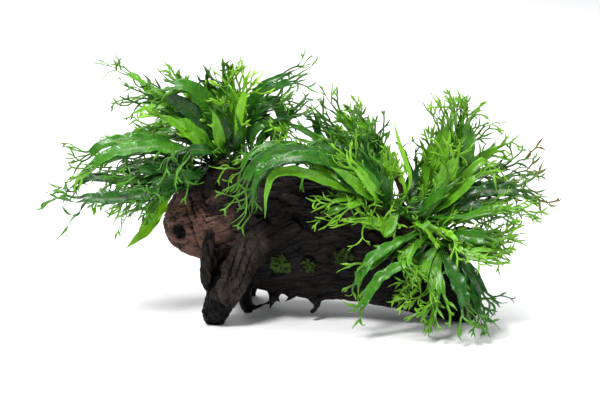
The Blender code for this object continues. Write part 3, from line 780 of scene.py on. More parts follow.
def grow_strand(sheet, chain, spot, way, face, width, length, aim, dice, depth, travelled, whole):
    """A ribbon of lace from an edge of the sheet, which forks until its length is used up."""
    run = min(length, max(4.0, whole * dice.uniform(*FORK_SPACING)))
    bend = math.radians(dice.gauss(0, 6.5))
    lift = math.radians(dice.gauss(0, 6.5))
    turn = math.radians(dice.gauss(0, 9))
    left = length - run
    forks = left > 4.0 and depth < FORK_DEPTH and (depth < 1 or dice.random() < 0.8)
    steps = max(2, round(run / STRAND_STEP))
    if not forks:
        run = min(max(length, SHORTEST_TIP), LONGEST_TIP)
        steps = round(run / STRAND_STEP)
    for step in range(1, steps + 1):
        share = step / steps
        across = way.cross(face).normalized()
        way = Matrix.Rotation(bend, 3, face) @ Matrix.Rotation(lift, 3, across) @ way
        if aim:
            way = way.lerp((aim - spot).normalized(), 0.13)
        way.normalize()
        across = Matrix.Rotation(turn, 3, way) @ across
        across = (across - way * across.dot(way)).normalized()
        face = across.cross(way)
        spot = kept_in_box(spot + way * (run / steps), 3)
        lace = min(1.0, (travelled + run * step / steps) / whole)
        if forks:
            half = width / 2 * (1 - 0.2 * math.sin(math.pi * share) + 0.15 * (step == steps))
        else:
            swell = 1 + 0.3 * math.sin(math.pi * share)
            half = max(width / 2 * swell * (1 - share ** 1.7), 0.15)
        row = [sheet.point(spot - across * half, travelled + step, -1, lace, LACE_SHARE)]
        if step == steps and forks:
            row.append(sheet.point(spot + way * (0.25 * width), travelled + step, 0, lace, LACE_SHARE))
        row.append(sheet.point(spot + across * half, travelled + step, 1, lace, LACE_SHARE))
        sheet.faces.append((*chain, *reversed(row)))
        chain = row
    if not forks:
        return
    longer = dice.choice((0, 1))
    for child, sign in enumerate((1, -1)):
        angle = math.radians(dice.uniform(*FORK_ANGLE)) * sign
        heading = Matrix.Rotation(angle, 3, face) @ way
        heading = Matrix.Rotation(math.radians(dice.gauss(0, 9)), 3, way.cross(face)) @ heading
        middle = spot - way.cross(face) * (sign * width * 0.3)
        rest = left * (1.0 if child == longer else dice.uniform(0.45, 0.95))
        target = aim if child == longer and aim and (aim - spot).length > 8 else None
        grow_strand(sheet, chain[child:child + 2], middle, heading, face,
                    max(STRAND_WIDTH[0], width * 0.82), max(rest, 4.0), target, dice, depth + 1,
                    travelled + run, whole)


def shortened(midrib, share):
    """The first part of a midrib."""
    rows, _ = even_trail(midrib, 4)
    return [Vector(row) for row in rows[:max(4, round(len(rows) * share))]]


def grow_shoots(sheet, margins, dice, chance, reach):
    """Side lobes that grow out of the blade's margins towards its tip."""
    for side, sign in ((0, -1), (1, 1)):
        index = int(len(margins) * dice.uniform(0.4, 0.6))
        while index < len(margins) - 4:
            if dice.random() < chance and margins[index][5] > 1.5:
                chain = [margins[index + k][side] for k in (0, 1, 2)]
                chain = chain[::-1] if sign > 0 else chain
                spot, way, across, half = margins[index + 2][2:]
                outward = across * sign
                start = (margins[index][2] + spot) / 2 + outward * half
                heading = (way + outward * dice.uniform(0.4, 0.9)).normalized()
                length = reach * dice.uniform(0.5, 1.0)
                grow_strand(sheet, chain, start, heading, across.cross(way), SHOOT_WIDTH, length, None,
                            dice, 2, 0.0, length * 1.2)
                index += 2
            index += dice.randint(2, 5)


def draw_frond(sheet, midrib, ends, dice, tone, whole, lacy, browned=0.0, relief=None):
    """One frond: stalk, blade and, where it has one, the lace between the crest's two ends.

    Whole is the share of its length before the lace, and lacy the chance of lobes on its margins.
    """
    sheet.feeling = (tone, browned, dice.random())
    if ends is None:
        draw_blade(sheet, midrib, dice, True, relief)
        return
    row, margins = draw_blade(sheet, shortened(midrib, whole), dice, False, relief)
    spot, way, across, half = margins[-1][2:]
    if (ends[1] - ends[0]).dot(across) < 0:
        ends = (ends[1], ends[0])
    apart = (ends[1] - ends[0]).length
    count = min(len(row) - 1, 3 if apart > 24 else 2)
    grow_shoots(sheet, margins, dice, lacy, min(15.0, 6 + apart * 0.25))
    cuts = [round(k * (len(row) - 1) / count) for k in range(count + 1)]
    for k in range(count):
        target = ends[0].lerp(ends[1], k / (count - 1))
        target = kept_in_box(target + (target - spot) * dice.uniform(-0.2, 0.12), 0)
        start = spot + across * (half * (2 * (k + 0.5) / count - 1))
        heading = (way * 0.8 + (target - spot).normalized()).normalized()
        width = min(max(2 * half / count * 0.9, STRAND_WIDTH[0]), STRAND_WIDTH[1])
        reach = (target - start).length
        grow_strand(sheet, row[cuts[k]:cuts[k + 1] + 1], start, heading, across.cross(way), width,
                    reach, target, dice, 0, 0.0, reach * 1.05)


def solid_rows(node):
    """Middle and half width of each row of a leaf's solid from its foot, and its crest's two ends."""
    bm = merged(node)
    bm.verts.index_update()
    stem = STEMS[node.split("_")[0]]
    seed = min(bm.verts, key=lambda v: min((v.co / MM - spot).length for spot in stem))
    row = sorted(bm.verts, key=lambda v: (v.co - seed.co).length)[:6]
    rows = []
    seen = set()
    while row:
        rows.append([v.co / MM for v in row])
        seen.update(row)
        # in the mesh's own order, so that every run adds the points up alike
        following = {e.other_vert(v) for v in row for e in v.link_edges} - seen
        row = sorted(following, key=lambda v: v.index)
    bm.free()
    blade = [spots for spots in rows if len(spots) == 6]
    middles = [sum(spots, Vector()) / 6 for spots in blade]
    midrib = []
    for index, (spots, middle) in enumerate(zip(blade, middles)):
        way = middles[min(index + 1, len(middles) - 1)] - middles[max(index - 1, 0)]
        across = way.cross(FACE_HINT).normalized()
        half = max(abs((spot - middle).dot(across)) for spot in spots)
        midrib.append(Vector((*middle, half)))
    if len(rows) == len(blade):
        midrib[-1].w = 0.2
        return midrib, None
    tips = rows[-1]
    centre = sum(tips, Vector()) / len(tips)
    across = (centre - middles[-1]).cross(FACE_HINT).normalized()
    halves = [[tip for tip in tips if (tip - centre).dot(across) * sign > 0] for sign in (-1, 1)]
    return midrib, tuple(sum(part, Vector()) / len(part) for part in halves)


def bent_over(midrib, ends, amount):
    """Raises the middle of a midrib and lowers its end, and gives back the crest's ends as lowered."""
    for index, row in enumerate(midrib):
        share = index / (len(midrib) - 1)
        row.z += amount * (0.7 * math.sin(math.pi * share) - 1.5 * share ** 2)
    return ends and tuple(end - Vector((0, 0, 1.5 * amount)) for end in ends)


def stem_line(side):
    """Points along the middle of a creeping stem."""
    spots = np.array([v.co for v in frame["nodes"]["rhizome_" + side].data.vertices]) / MM
    ends = np.linspace(spots[:, 0].min(), spots[:, 0].max(), 13)
    line = []
    for low, high in zip(ends, ends[1:]):
        inside = spots[(spots[:, 0] >= low - 2) & (spots[:, 0] <= high + 2)]
        line.append(Vector(inside.mean(axis=0)))
    return line


def clear_of_wood(spot, clearance):
    """The spot, moved outward where it would lie in the trunk or close to it."""
    near, outward = trunk_tree.find_nearest(spot * MM)[:2]
    if (spot - near / MM).dot(outward) < clearance:
        spot = near / MM + outward * clearance
    return kept_in_box(spot, -2)


def table_rows(points, width, spread):
    """Midrib rows and crest ends of a frond that is given by its points."""
    end = points[-1]
    body = points[:-1] if spread else points
    rows, _ = even_trail([Vector((*p, 0)) for p in body], 6)
    shares, widths = zip(*(FORKED_PROFILE if spread else PLAIN_PROFILE))
    midrib = [Vector((*row[:3], np.interp(k / (len(rows) - 1), shares, widths) * width / 2))
              for k, row in enumerate(rows)]
    if not spread:
        return midrib, None
    across = (end - body[-1]).cross(FACE_HINT).normalized() * spread / 2
    return midrib, (end - across, end + across)


def companion(midrib, ends, size, width, turn, tilt, depth=1.0, plain=False):
    """A frond from the same foot, swung and tilted round it; depth below 0 leans it to the back."""
    foot = midrib[0].xyz
    swing = Matrix.Rotation(turn, 3, "Z")

    def moved(spot, clearance):
        arm = swing @ (spot - foot)
        arm = Vector((arm.x * size, arm.y * size * depth, arm.z * size + arm.length * tilt))
        return clear_of_wood(foot + arm, clearance * min(1.0, arm.length / 25))

    line = [Vector((*moved(row.xyz, 6), max(row.w * width, 0.8))) for row in midrib]
    line[0] = midrib[0]
    if plain:
        return line, None
    if not ends:
        ends = (midrib[-1].xyz + Vector((-4, 0, 5)), midrib[-1].xyz + Vector((6, 0, 4)))
        line[-1].w = max(line[-2].w * 0.6, 1.0)
    return line, tuple(moved(end, 7) for end in ends)


# ---------------------------------------------------------------- wood

def tube_into(bm, path):
    """A closed round limb through points with their own radius."""
    rows, _ = even_trail([Vector(point) for point in path], 3)
    previous = None
    for index, row in enumerate(rows):
        way = Vector(rows[min(index + 1, len(rows) - 1)][:3] - rows[max(index - 1, 0)][:3]).normalized()
        across = way.orthogonal().normalized()
        ring = []
        for corner in range(SPUR_SIDES):
            turned = Matrix.Rotation(math.tau * corner / SPUR_SIDES, 3, way) @ across
            ring.append(bm.verts.new((Vector(row[:3]) + turned * row[3]) * MM))
        if previous:
            for corner in range(SPUR_SIDES):
                following = (corner + 1) % SPUR_SIDES
                bm.faces.new((previous[corner], previous[following], ring[following], ring[corner]))
        else:
            bm.faces.new(ring[::-1])
        previous = ring
    bm.faces.new(previous)


def noise_at(places, seed):
    """Smooth noise from about -1 to 1 at each row of places."""
    shift = Vector((seed * 7.3, seed * 3.1, seed * 11.7))
    return np.array([noise.noise(Vector(place) + shift) for place in places])


def ring_places(spots, along, others, slices=26):
    """Places along a limb and round its middle, so that noise on them makes lengthwise grain."""
    edges = np.linspace(along.min(), along.max(), slices + 1)
    middles = (edges[1:] + edges[:-1]) / 2
    which = np.clip(np.digitize(along, edges) - 1, 0, slices - 1)
    arms = []
    for other in others:
        low = np.array([spots[which == k, other].min() for k in range(slices)])
        high = np.array([spots[which == k, other].max() for k in range(slices)])
        arms.append(spots[:, other] - np.interp(along, middles, (low + high) / 2))
    turn = np.arctan2(arms[1], arms[0]) + along * 0.006
    return along, np.cos(turn), np.sin(turn)


def segment_distance(flat, start, end):
    """Distance from each point of the front view to a straight stretch, and the share along it."""
    start, end = np.array(start, float), np.array(end, float)
    share = np.clip(((flat - start) @ (end - start)) / ((end - start) @ (end - start)), 0, 1)
    return np.linalg.norm(flat - (start + share[:, None] * (end - start)), axis=1), share


def ridges(places, rings, stretch, seed):
    """Broad swells, lengthwise ribs, sharp splits and fine grain at these places."""
    along, cosine, sine = places
    broad = noise_at(np.stack([along / 50, cosine * rings / 4, sine * rings / 4], 1), seed)
    ribs = noise_at(np.stack([along / stretch, cosine * rings, sine * rings], 1), seed + 1)
    fine = noise_at(np.stack([along / stretch * 2.2, cosine * rings * 2.6, sine * rings * 2.6], 1), seed + 2)
    split = np.clip(1 - np.abs(ribs) / 0.08, 0, 1)
    furrow = np.clip(1 - np.abs(fine) / 0.12, 0, 1)
    return 3.0 * broad + 1.8 * ribs + 1.3 * fine - 3.2 * split - 1.2 * furrow


def pits(flat, rough):
    """How the pits lift points of the front view, and the shade painted in them."""
    lift = np.zeros(len(flat))
    dark = np.zeros(len(flat))
    for x, z, radius, depth, shade in LOG_PITS:
        reach = np.hypot(flat[:, 0] - x, (flat[:, 1] - z) * 0.85) / radius + 0.2 * rough
        hole = np.clip(1.15 - reach, 0, 1) ** 0.7
        rim = np.exp(-((reach - 1.25) / 0.22) ** 2)
        lift += (rim * 0.25 - hole) * depth
        dark = np.maximum(dark, shade * np.clip((1.1 - reach) * 3, 0, 1))
    return lift, dark


def cracks(flat):
    """How the cracks lift points of the front view, and the shade painted in them."""
    lift = np.zeros(len(flat))
    dark = np.zeros(len(flat))
    for start, end, width, depth in LOG_CRACKS:
        reach, share = segment_distance(flat, start, end)
        taper = np.sin(np.pi * np.clip(share, 0.04, 0.96)) ** 0.5
        groove = np.clip(1 - reach / (width * (0.6 + taper)), 0, 1) * taper
        lift -= groove * depth * 1.2
        dark = np.maximum(dark, groove * 0.9)
    return lift, dark


def broken_end(spots, jagged):
    """How the splinters and growth rings of the leg's broken end lift and darken the wood."""
    x, y, z = spots.T
    (x0, z0), (x1, z1) = BREAK_LINE
    line = z0 + (x - x0) * (z1 - z0) / (x1 - x0) + 1.5 * jagged
    broken = np.clip((line - z) / 2.0, 0, 1) * (x < BREAK_EDGE) * (y < 4)
    rings = np.sin(np.hypot(x - BREAK_RINGS[0], z - BREAK_RINGS[1]) * 1.6 + jagged * 2)
    splinters = noise_at(spots / (3.2, 3.2, 20), 6)
    return broken * (0.35 * rings + 2.4 * splinters - 1.2), broken * (0.8 - 0.25 * splinters - 0.1 * rings)


def wood_distances(spots):
    """Distance from each point to each of the driftwood's solids, by node."""
    away = {}
    for node in WOOD_NODES:
        skin = tree_of(node)
        away[node] = np.array([skin.find_nearest(Vector(spot))[3] / MM for spot in spots * MM])
    return away


def nearer(away, nodes, width, share):
    """0 by the trunk and 1 by these limbs, passing this share halfway, over a band this wide."""
    nearest = np.min([away[node] for node in nodes], axis=0)
    return np.clip((away["log"] - nearest) / width + share, 0, 1)


def carve(mesh):
    """Weathered relief on the fused driftwood, and the paint that goes with it, painted shade and light among
    it.
    """
    spots = mesh_points(mesh)
    floor = spots[:, 2] < FLOOR_BAND
    spots = relaxed(mesh, spots, SKIN_TURNS)
    set_points(mesh, spots)
    ways = mesh_normals(mesh)
    away = wood_distances(spots)
    rough = noise_at(spots / 5, 4)
    jagged = noise_at(spots / 9, 5)
    x, y, z = spots.T

    limb = nearer(away, WOOD_NODES[1:], 10, 0.5)
    slender = nearer(away, ("elbow_root", "top_stub"), 6, 0.5)
    cut_end = np.clip((x - 158) / 8, 0, 1) * (1 - limb)
    # up-facing faces high on the wood: painted light from above, with silt
    upward = np.clip(ways[:, 2] * 1.3 - 0.1, 0, 1) * np.clip((z - 80) / 30, 0, 1)
    paler = np.max([nearer(away, ("front_leg", "top_stub"), 10, 0.7), upward * 0.6, cut_end * 0.9], axis=0)
    # the trunk's underside: ragged relief, and painted shade under the trunk
    underside = np.clip((40 - z) / 24, 0, 1) * np.clip(1 - np.abs(x + 4) / 50, 0, 1)
    prong = np.clip(1 - away["broken_prong"] / 3, 0, 1) * np.clip(away["front_leg"] / 3 - 0.4, 0, 1)
    (left, right), (low, high), behind = HOLLOW
    hollow = (x > left) & (x < right) & (z > low) & (z < high) & (y > behind)

    trunk_lift = ridges(ring_places(spots, x, (1, 2)), 7, 36, 1)
    limb_lift = ridges((z - x * 0.4, x / 24 + z / 55, y / 24), 5, 30, 11)
    toward_front = np.clip(-ways[:, 1] * 3, 0, 1)
    upright = np.clip(np.abs(ways[:, 1]) * 3, 0, 1)
    mirrored = np.where(ways[:, 1] > 0, BACK_MIRROR - x, x)
    pit_lift, pit_dark = pits(np.stack([mirrored, z], 1), rough)
    crack_lift, crack_dark = cracks(np.stack([mirrored, z + 5.0 * jagged + 1.4 * rough], 1))
    break_lift, break_dark = broken_end(spots, jagged)
    lift = (trunk_lift * (1 - limb) * 0.8 + limb_lift * limb * 0.5 * (1 - 0.6 * slender) + 0.45 * rough
            + cut_end * 1.6 * (rough + jagged) + upright * (pit_lift + crack_lift) + break_lift
            + underside * 2.6 * jagged * (1 - limb))
    # painted shade in pits, cracks, the hollow and under the trunk; the broken end and the prong are darker
    dark = np.max([upright * pit_dark, upright * crack_dark, break_dark, hollow * toward_front * 0.85,
                   prong * (0.55 - 0.25 * rough), underside * 0.5], axis=0)

    spots = spots + ways * lift[:, None]
    spots[floor, 2] = 0.0
    spots[:, 2] = np.maximum(spots[:, 2], 0.0)
    set_points(mesh, spots)
    x, y, z = spots.T
    warm = np.clip((-58 - x + 16 * jagged) / 40, 0, 1) * np.clip((134 - z) / 22, 0, 1) * (1 - limb)
    warm = np.maximum(warm, np.clip(1.2 - away["top_stub"] / 2, 0, 1))
    relief = np.clip(0.5 + lift / 7.0, 0, 1)
    paint(mesh, "wood", np.stack([relief, dark, warm], 1))
    # the third number of the limb paint isn't used
    paint(mesh, "limb", np.stack([limb, paler, 0 * limb], 1))
    return mesh


# ---------------------------------------------------------------- growth on the wood

def new_tree(name, inputs):
    """An empty Geometry Nodes tree with named inputs, its input node and its output node."""
    tree = bpy.data.node_groups.new(name, "GeometryNodeTree")
    tree.interface.new_socket("Geometry", in_out="INPUT", socket_type="NodeSocketGeometry")
    for label, kind in inputs:
        tree.interface.new_socket(label, in_out="INPUT", socket_type="NodeSocket" + kind)
    tree.interface.new_socket("Geometry", in_out="OUTPUT", socket_type="NodeSocketGeometry")
    return tree, tree.nodes.new("NodeGroupInput"), tree.nodes.new("NodeGroupOutput")


def tree_node(tree, kind, settings=None, **inputs):
    """A node with its inputs set or linked, by name with _ for a space, or as i and a number."""
    node = tree.nodes.new(kind)
    for key, value in (settings or {}).items():
        setattr(node, key, value)
    for key, value in inputs.items():
        socket = node.inputs[int(key[1:])] if key[1:].isdigit() else node.inputs[key.replace("_", " ")]
        if isinstance(value, bpy.types.NodeSocket):
            tree.links.new(value, socket)
        else:
            socket.default_value = value
    return node


def random_number(tree, low, high, seed):
    """An evenly spread random number for each point."""
    node = tree_node(tree, "FunctionNodeRandomValue", {"data_type": "FLOAT"}, i2=low, i3=high, Seed=seed)
    return node.outputs[1]


def give_back(tree, geometry, given, result):
    """Ends a tree: the shapes made real, with the finish that the tree is given."""
    real = tree_node(tree, "GeometryNodeRealizeInstances", Geometry=geometry)
    painted = tree_node(tree, "GeometryNodeSetMaterial", Geometry=real.outputs[0],
                        Material=given.outputs["Finish"])
    tree.links.new(painted.outputs[0], result.inputs[0])


def scatter_tree():
    """Small leaflets or hairs over a surface, standing along its normal with a random lean."""
    tree, given, result = new_tree("scatter", [
        ("Grown", "Object"), ("Density", "Float"), ("Smallest", "Float"), ("Largest", "Float"),
        ("Lean", "Float"), ("Seed", "Int"), ("Finish", "Material")])
    spread = tree_node(tree, "GeometryNodeDistributePointsOnFaces", Mesh=given.outputs["Geometry"],
                       Density=given.outputs["Density"], Seed=given.outputs["Seed"])
    backward = tree_node(tree, "ShaderNodeMath", {"operation": "MULTIPLY"}, i0=given.outputs["Lean"], i1=-1.0)
    lean = random_number(tree, backward.outputs[0], given.outputs["Lean"], given.outputs["Seed"])
    angles = tree_node(tree, "ShaderNodeCombineXYZ", X=lean, Z=random_number(tree, -math.pi, math.pi, 7))
    lean_turn = tree_node(tree, "FunctionNodeEulerToRotation", i0=angles.outputs[0])
    turn = tree_node(tree, "FunctionNodeRotateRotation", {"rotation_space": "LOCAL"},
                     i0=spread.outputs["Rotation"], i1=lean_turn.outputs[0])
    size = random_number(tree, given.outputs["Smallest"], given.outputs["Largest"], 3)
    grown = tree_node(tree, "GeometryNodeObjectInfo", Object=given.outputs["Grown"])
    stand = tree_node(tree, "GeometryNodeInstanceOnPoints", Points=spread.outputs["Points"],
                      Instance=grown.outputs["Geometry"], Rotation=turn.outputs[0], Scale=size)
    give_back(tree, stand.outputs[0], given, result)
    return tree


def fibre_tree():
    """Round fibres along every line of the mesh that it is given."""
    tree, given, result = new_tree("fibres", [("Radius", "Float"), ("Finish", "Material")])
    lines = tree_node(tree, "GeometryNodeMeshToCurve", Mesh=given.outputs["Geometry"])
    ring = tree_node(tree, "GeometryNodeCurvePrimitiveCircle", Resolution=5, Radius=given.outputs["Radius"])
    tubes = tree_node(tree, "GeometryNodeCurveToMesh", Curve=lines.outputs[0],
                      Profile_Curve=ring.outputs[0], Fill_Caps=True)
    give_back(tree, tubes.outputs[0], given, result)
    return tree


def grown_mesh(name, mesh, tree, values):
    """The plain mesh that a Geometry Nodes tree makes of mesh with these named values."""
    holder = linked(name, mesh)
    growth = holder.modifiers.new("growth", "NODES")
    growth.node_group = tree
    names = {item.name: item.identifier for item in tree.interface.items_tree
             if item.in_out == "INPUT"}
    for key, value in values.items():
        growth[names[key]] = value
    return baked(holder, name)


def seed_object(name, points, faces):
    """A small shape that is repeated; it isn't shown itself."""
    mesh = bpy.data.meshes.new(name)
    mesh.from_pydata([Vector(point) * MM for point in points], [], faces)
    return bpy.data.objects.new(name, mesh)


def leaflet_shape():
    """A flat pointed leaflet one millimetre long."""
    return seed_object("leaflet", [(0, 0, 0), (-0.3, 0, 0.5), (0, 0.09, 0.5), (0.3, 0, 0.5),
                                   (0, -0.06, 0.5), (0, 0.12, 1)],
                       [(0, 2, 1), (0, 3, 2), (0, 4, 3), (0, 1, 4),
                        (5, 1, 2), (5, 2, 3), (5, 3, 4), (5, 4, 1)])


def lobe_shape():
    """A rounded lobe one millimetre long, cupped and notched at its end."""
    outline = [(-0.12, 0), (-0.42, 0.35), (-0.45, 0.75), (-0.2, 0.98), (0, 0.82), (0.2, 0.98),
               (0.45, 0.75), (0.42, 0.35), (0.12, 0)]
    points = [(x, 0.35 * y * y + sign * 0.05, y) for sign in (1, -1) for x, y in outline]
    count = len(outline)
    faces = [tuple(range(count)), tuple(range(2 * count - 1, count - 1, -1))]
    faces += [(k + count, (k + 1) % count + count, (k + 1) % count, k) for k in range(count)]
    return seed_object("lobe", points, faces)


def hair_shape():
    """A thin bent hair one millimetre long."""
    spine = [(0, 0, 0, 0.06), (0.05, 0.06, 0.4, 0.045), (0.2, 0.12, 0.75, 0.03), (0.42, 0.1, 1.0, 0.01)]
    points = []
    for x, y, z, radius in spine:
        points += [(x + radius * math.cos(a), y + radius * math.sin(a), z)
                   for a in (0, math.tau / 3, 2 * math.tau / 3)]
    faces = [(2, 1, 0), (9, 10, 11)]
    for k in range(3):
        for corner in range(3):
            following = (corner + 1) % 3
            faces.append((3 * k + corner, 3 * k + following, 3 * k + 3 + following, 3 * k + 3 + corner))
    return seed_object("hair", points, faces)


def crawling_lines(starts, length, pull, seed):
    """Lines over the trunk's skin, from each start and roughly along pull, as a mesh of edges."""
    dice = random.Random(seed)
    bm = bmesh.new()
    for start in starts:
        spot = Vector(start)
        way = Vector(pull).normalized()
        previous = None
        swing = dice.uniform(-0.5, 0.5)
        for _ in range(int(length * dice.uniform(0.5, 1.2) / 2)):
            near, normal, _, _ = trunk_tree.find_nearest(spot * MM)
            vertex = bm.verts.new(near + normal * 0.35 * MM)
            if previous:
                bm.edges.new((previous, vertex))
            previous = vertex
            swing += dice.uniform(-0.35, 0.35)
            sideways = normal.cross(way)
            way = (way + sideways * swing * 0.35 + Vector(pull) * 0.15)
            way = (way - normal * way.dot(normal)).normalized()
            spot = near / MM + way * 2
    mesh = bpy.data.meshes.new("lines")
    bm.to_mesh(mesh)
    bm.free()
    return mesh


# ---------------------------------------------------------------- pieces

def young_frond(side, dice):
    """A short frond from somewhere on a creeping stem, upward or to the front or back."""
    stem = STEMS[side]
    foot = smooth_point(stem, dice.uniform(0.02, 0.98) * (len(stem) - 1))
    turn = dice.uniform(0, math.tau)
    arm = Vector((math.cos(turn), math.sin(turn), dice.uniform(0.5, 1.8))).normalized()
    length = dice.uniform(26, 58) * (0.8 + 0.2 * math.sin(turn))
    sag = Vector((arm.x, arm.y, -0.5)) * length * 0.25
    points = [foot + Vector((0, 0, 2))]
    points += [clear_of_wood(foot + arm * length * share + sag * share ** 2, 6 * share + 1)
               for share in (0.35, 0.7, 1.0, 1.35)]
    return table_rows(points, dice.uniform(4, 8), dice.uniform(10, 24))


def draw_neighbours(sheet, midrib, ends, dice, tone, slender_count, plain, with_inner):
    """Slender fronds beside a frond, one behind it and, on some, a shorter one inside it."""
    outward = midrib[-1].x - midrib[0].x
    for _ in range(slender_count):
        backward = math.copysign(dice.uniform(0.08, 0.42), outward)
        slender = companion(midrib, ends, size=dice.uniform(0.72, 1.0), width=dice.uniform(0.55, 0.85),
                            turn=backward, tilt=dice.uniform(-0.14, 0.16))
        draw_frond(sheet, *slender, dice, tone + dice.uniform(-0.7, 0.35), dice.uniform(0.82, 0.97), 0.12)
    rear = companion(midrib, ends, size=dice.uniform(0.6, 0.8), width=0.8, turn=dice.uniform(-0.25, 0.25),
                     tilt=0.02, depth=-0.85, plain=plain)
    draw_frond(sheet, *rear, dice, tone + dice.uniform(-0.5, 0.3), 0.85, 0.2)
    if with_inner:
        swing = math.copysign(dice.uniform(0.1, 0.8), outward)
        inner = companion(midrib, ends, size=dice.uniform(0.4, 0.6), width=0.6, turn=swing,
                          tilt=0.1, depth=0.8)
        draw_frond(sheet, *inner, dice, tone + dice.uniform(-0.6, 0.2), 0.85, 0.2)


def make_fronds(finishes):
    """Every frond, with its small neighbours drawn in the same piece."""
    names = [name for name in frame["nodes"] if slot_of(name) in SLOT_TONES]
    for order, name in enumerate(sorted(names)):
        dice = random.Random(1000 + order)
        sheet = Sheet()
        side = name.split("_")[0]
        plant = PLANTS[side]
        look = {**USUAL_LOOK, **FROND_LOOKS.get(name, {})}
        tone = SLOT_TONES[slot_of(name)] + plant["tone"] + look["tone"]
        whole = look["whole"] or plant["whole"]
        midrib, ends = solid_rows(name)
        ends = bent_over(midrib, ends, look["bend"])
        for row in midrib:
            row.w *= look["width"]
        if look["plain"]:
            midrib.append(Vector((*(ends[0] + ends[1]) / 2, 0.2)))
            ends = None
        draw_frond(sheet, midrib, ends, dice, tone + dice.uniform(-0.2, 0.2), whole,
                   0.35 if whole < 0.85 else 0.06, look["browned"], look["relief"])
        for share, points, width, spread, own_tone in SMALL_FRONDS.get(name, []):
            stem = STEMS[side]
            foot = smooth_point(stem, share * (len(stem) - 1)) + Vector((0, 0, 2.5))
            rows = table_rows([foot, *map(Vector, points)], width, spread)
            draw_frond(sheet, *rows, dice, own_tone, SMALL_WHOLE, SMALL_LACY)
        draw_neighbours(sheet, midrib, ends, dice, tone, 0 if look["alone"] else plant["slender"],
                        look["plain"], order % 2)
        for _ in range(look["young"]):
            draw_frond(sheet, *young_frond(side, dice), dice, dice.uniform(-1.0, 0.2), 0.7, 0.3)
        piece = name + "_frond"
        finish_piece(piece, [dressed(sheet.mesh(piece), finishes[slot_of(name)])], [name])


def make_driftwood(wood):
    """The trunk and its limbs are one grown piece of wood, so they share one skin."""
    bm = bmesh.new()
    for node in WOOD_NODES:
        bm.from_mesh(frame["nodes"][node].data)
    bmesh.ops.remove_doubles(bm, verts=bm.verts, dist=1e-6)
    spurs = bmesh.new()
    for path in SPURS:
        tube_into(spurs, path)
    bmesh.ops.recalc_face_normals(spurs, faces=spurs.faces)
    extra = bpy.data.meshes.new("spurs")
    spurs.to_mesh(extra)
    spurs.free()
    bm.from_mesh(extra)
    mesh = carve(remeshed("driftwood", bm, SKIN_VOXEL))
    finish_piece("driftwood", [dressed(mesh, wood)], WOOD_NODES)


def make_growth(stem_finish, hair_finish, moss_finish):
    """Creeping stems with their scales and hairs, roots that hold the wood, and moss."""
    scatter = scatter_tree()
    fibres = fibre_tree()
    lobe, hair, leaflet = lobe_shape(), hair_shape(), leaflet_shape()
    for order, side in enumerate(("left", "middle", "right")):
        node = "rhizome_" + side
        skin = remeshed(node, merged(node), 0.7)
        spots = relaxed(skin, mesh_points(skin), 8)
        set_points(skin, spots + mesh_normals(skin) * (0.5 * noise_at(spots / 3.2, 30 + order))[:, None])
        dressed(skin, stem_finish)
        hairs = grown_mesh("hairs", skin.copy(), scatter, {
            "Grown": hair, "Density": 3.0e5, "Smallest": 3.0, "Largest": 8.0, "Lean": 1.0,
            "Seed": 40 + order, "Finish": hair_finish})
        scales = grown_mesh("scales", skin.copy(), scatter, {
            "Grown": leaflet, "Density": 2.2e5, "Smallest": 1.5, "Largest": 3.2, "Lean": 1.3,
            "Seed": 50 + order, "Finish": hair_finish})
        stem = STEMS[side]
        starts = [stem[k] + Vector((0, -3, -3)) for k in range(1, 12)] * 2
        lines = crawling_lines(starts, 34, (0.1, -0.8, -0.6), 60 + order)
        roots = grown_mesh("roots", lines, fibres, {"Radius": 0.28 * MM, "Finish": hair_finish})
        finish_piece("creeping_stem_" + side, [skin, hairs, scales, roots], [node])
    for order, node in enumerate(("moss_front_large", "moss_front_dark", "moss_front_right", "moss_ridge")):
        skin = remeshed(node, merged(node), 0.7)
        spots = relaxed(skin, mesh_points(skin), 4)
        middle = spots.mean(axis=0)
        spots = middle + (spots - middle) * (0.55 + 0.8 * noise_at(spots / 6, 90 + order))[:, None]
        set_points(skin, spots + mesh_normals(skin) * (0.9 * noise_at(spots / 2.6, 70 + order))[:, None])
        dressed(skin, moss_finish)
        tufts = grown_mesh("tufts", skin.copy(), scatter, {
            "Grown": lobe, "Density": 3.2e5, "Smallest": 2.2, "Largest": 6.0, "Lean": 1.1,
            "Seed": 80 + order, "Finish": moss_finish})
        finish_piece(node + "_tuft", [skin, tufts], [node])


# ---------------------------------------------------------------- studio

LIGHTS = [  # name, place in metres, width, power
    ("key", (-0.6, -1.0, 1.7), 0.45, 46),
    ("top", (0.2, 0.3, 1.8), 0.9, 30),
    ("side", (1.5, -0.7, 0.8), 0.9, 8),
    ("back", (-0.5, 1.5, 1.0), 1.0, 12),
]
LIGHTS_AIM = (0, 0, 0.1)
CAMERA_AIM = (-0.0006, 0.0260, 0.1152)
CAMERA_ELEVATION = 15
CAMERA_DISTANCE = 3.0
CAMERA_LENS = 180


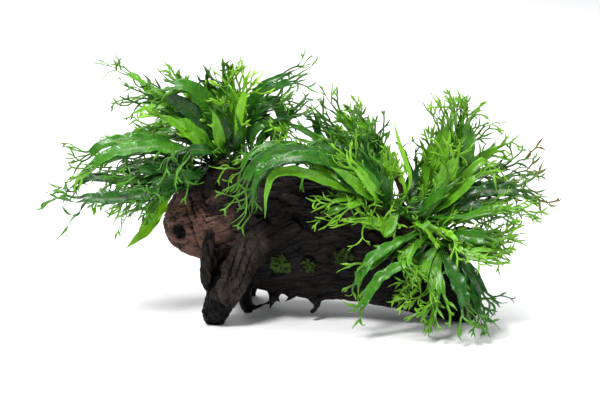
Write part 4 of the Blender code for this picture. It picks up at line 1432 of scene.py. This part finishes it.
def make_studio():
    """The floor, the daylight, four soft lights and the camera."""
    bm = bmesh.new()
    bmesh.ops.create_grid(bm, x_segments=1, y_segments=1, size=12)
    mesh = bpy.data.meshes.new("floor")
    bm.to_mesh(mesh)
    bm.free()
    mesh.materials.append(floor_finish())
    linked("floor", mesh)

    world = bpy.data.worlds.new("studio")
    bpy.context.scene.world = world
    world.use_nodes = True
    world.node_tree.nodes["Background"].inputs["Color"].default_value = (0.95, 0.97, 1.0, 1)
    world.node_tree.nodes["Background"].inputs["Strength"].default_value = 0.34

    for name, spot, size, power in LIGHTS:
        lamp = bpy.data.lights.new(name, "AREA")
        lamp.size = size
        lamp.energy = power
        light = linked(name, lamp)
        light.location = spot
        light.rotation_euler = (Vector(LIGHTS_AIM) - Vector(spot)).to_track_quat("-Z", "Y").to_euler()

    lens = bpy.data.cameras.new("camera")
    lens.sensor_width = 36
    lens.lens = CAMERA_LENS
    lens.clip_end = 50
    camera = linked("camera", lens)
    elevation = math.radians(CAMERA_ELEVATION)
    back = Vector((0, -math.cos(elevation), math.sin(elevation)))
    camera.location = Vector(CAMERA_AIM) + back * CAMERA_DISTANCE
    camera.rotation_euler = (-back).to_track_quat("-Z", "Y").to_euler()
    bpy.context.scene.camera = camera
    bpy.context.scene.view_settings.view_transform = "Standard"


# the middle plant's fronds have names that start with mid
STEMS = {"left": stem_line("left"), "mid": stem_line("middle"), "right": stem_line("right")}
STEMS["middle"] = STEMS["mid"]
WOOD_NODES = ["log", "front_leg", "broken_prong", "elbow_root", "rear_root", "top_stub"]
trunk_tree = tree_of("log")

make_studio()
# the third colour of each frond finish is its painted sheen on the quilt tops, the fourth its lace tip
frond_finishes = {
    "leaf_dark": frond_finish("frond_dark", (0.004, 0.034, 0.004), (0.020, 0.125, 0.008),
                              (0.07, 0.22, 0.05), (0.11, 0.34, 0.015)),
    "leaf_mid": frond_finish("frond_mid", (0.009, 0.070, 0.004), (0.052, 0.225, 0.007),
                             (0.12, 0.32, 0.04), (0.19, 0.44, 0.015)),
    "leaf_light": frond_finish("frond_light", (0.026, 0.130, 0.004), (0.130, 0.380, 0.010),
                               (0.22, 0.46, 0.05), (0.21, 0.46, 0.02)),
    "leaf_yellow": frond_finish("frond_yellow", (0.050, 0.220, 0.004), (0.190, 0.480, 0.008),
                                (0.32, 0.56, 0.06), (0.29, 0.54, 0.02)),
}
make_fronds(frond_finishes)
make_driftwood(wood_finish("wet_driftwood", (0.0016, 0.0011, 0.0009), (0.0080, 0.0054, 0.0042),
                           (0.060, 0.047, 0.038), (0.165, 0.088, 0.066)))
make_growth(
    plain_growth_finish("stem_skin", (0.020, 0.028, 0.008), (0.090, 0.110, 0.030), 0.4, 4, 0.4),
    plain_growth_finish("root_hair", (0.020, 0.010, 0.005), (0.085, 0.045, 0.022), 0.5, 5, 0.1),
    plain_growth_finish("moss_green", (0.004, 0.010, 0.002), (0.036, 0.070, 0.006), 0.55, 5, 0.2))
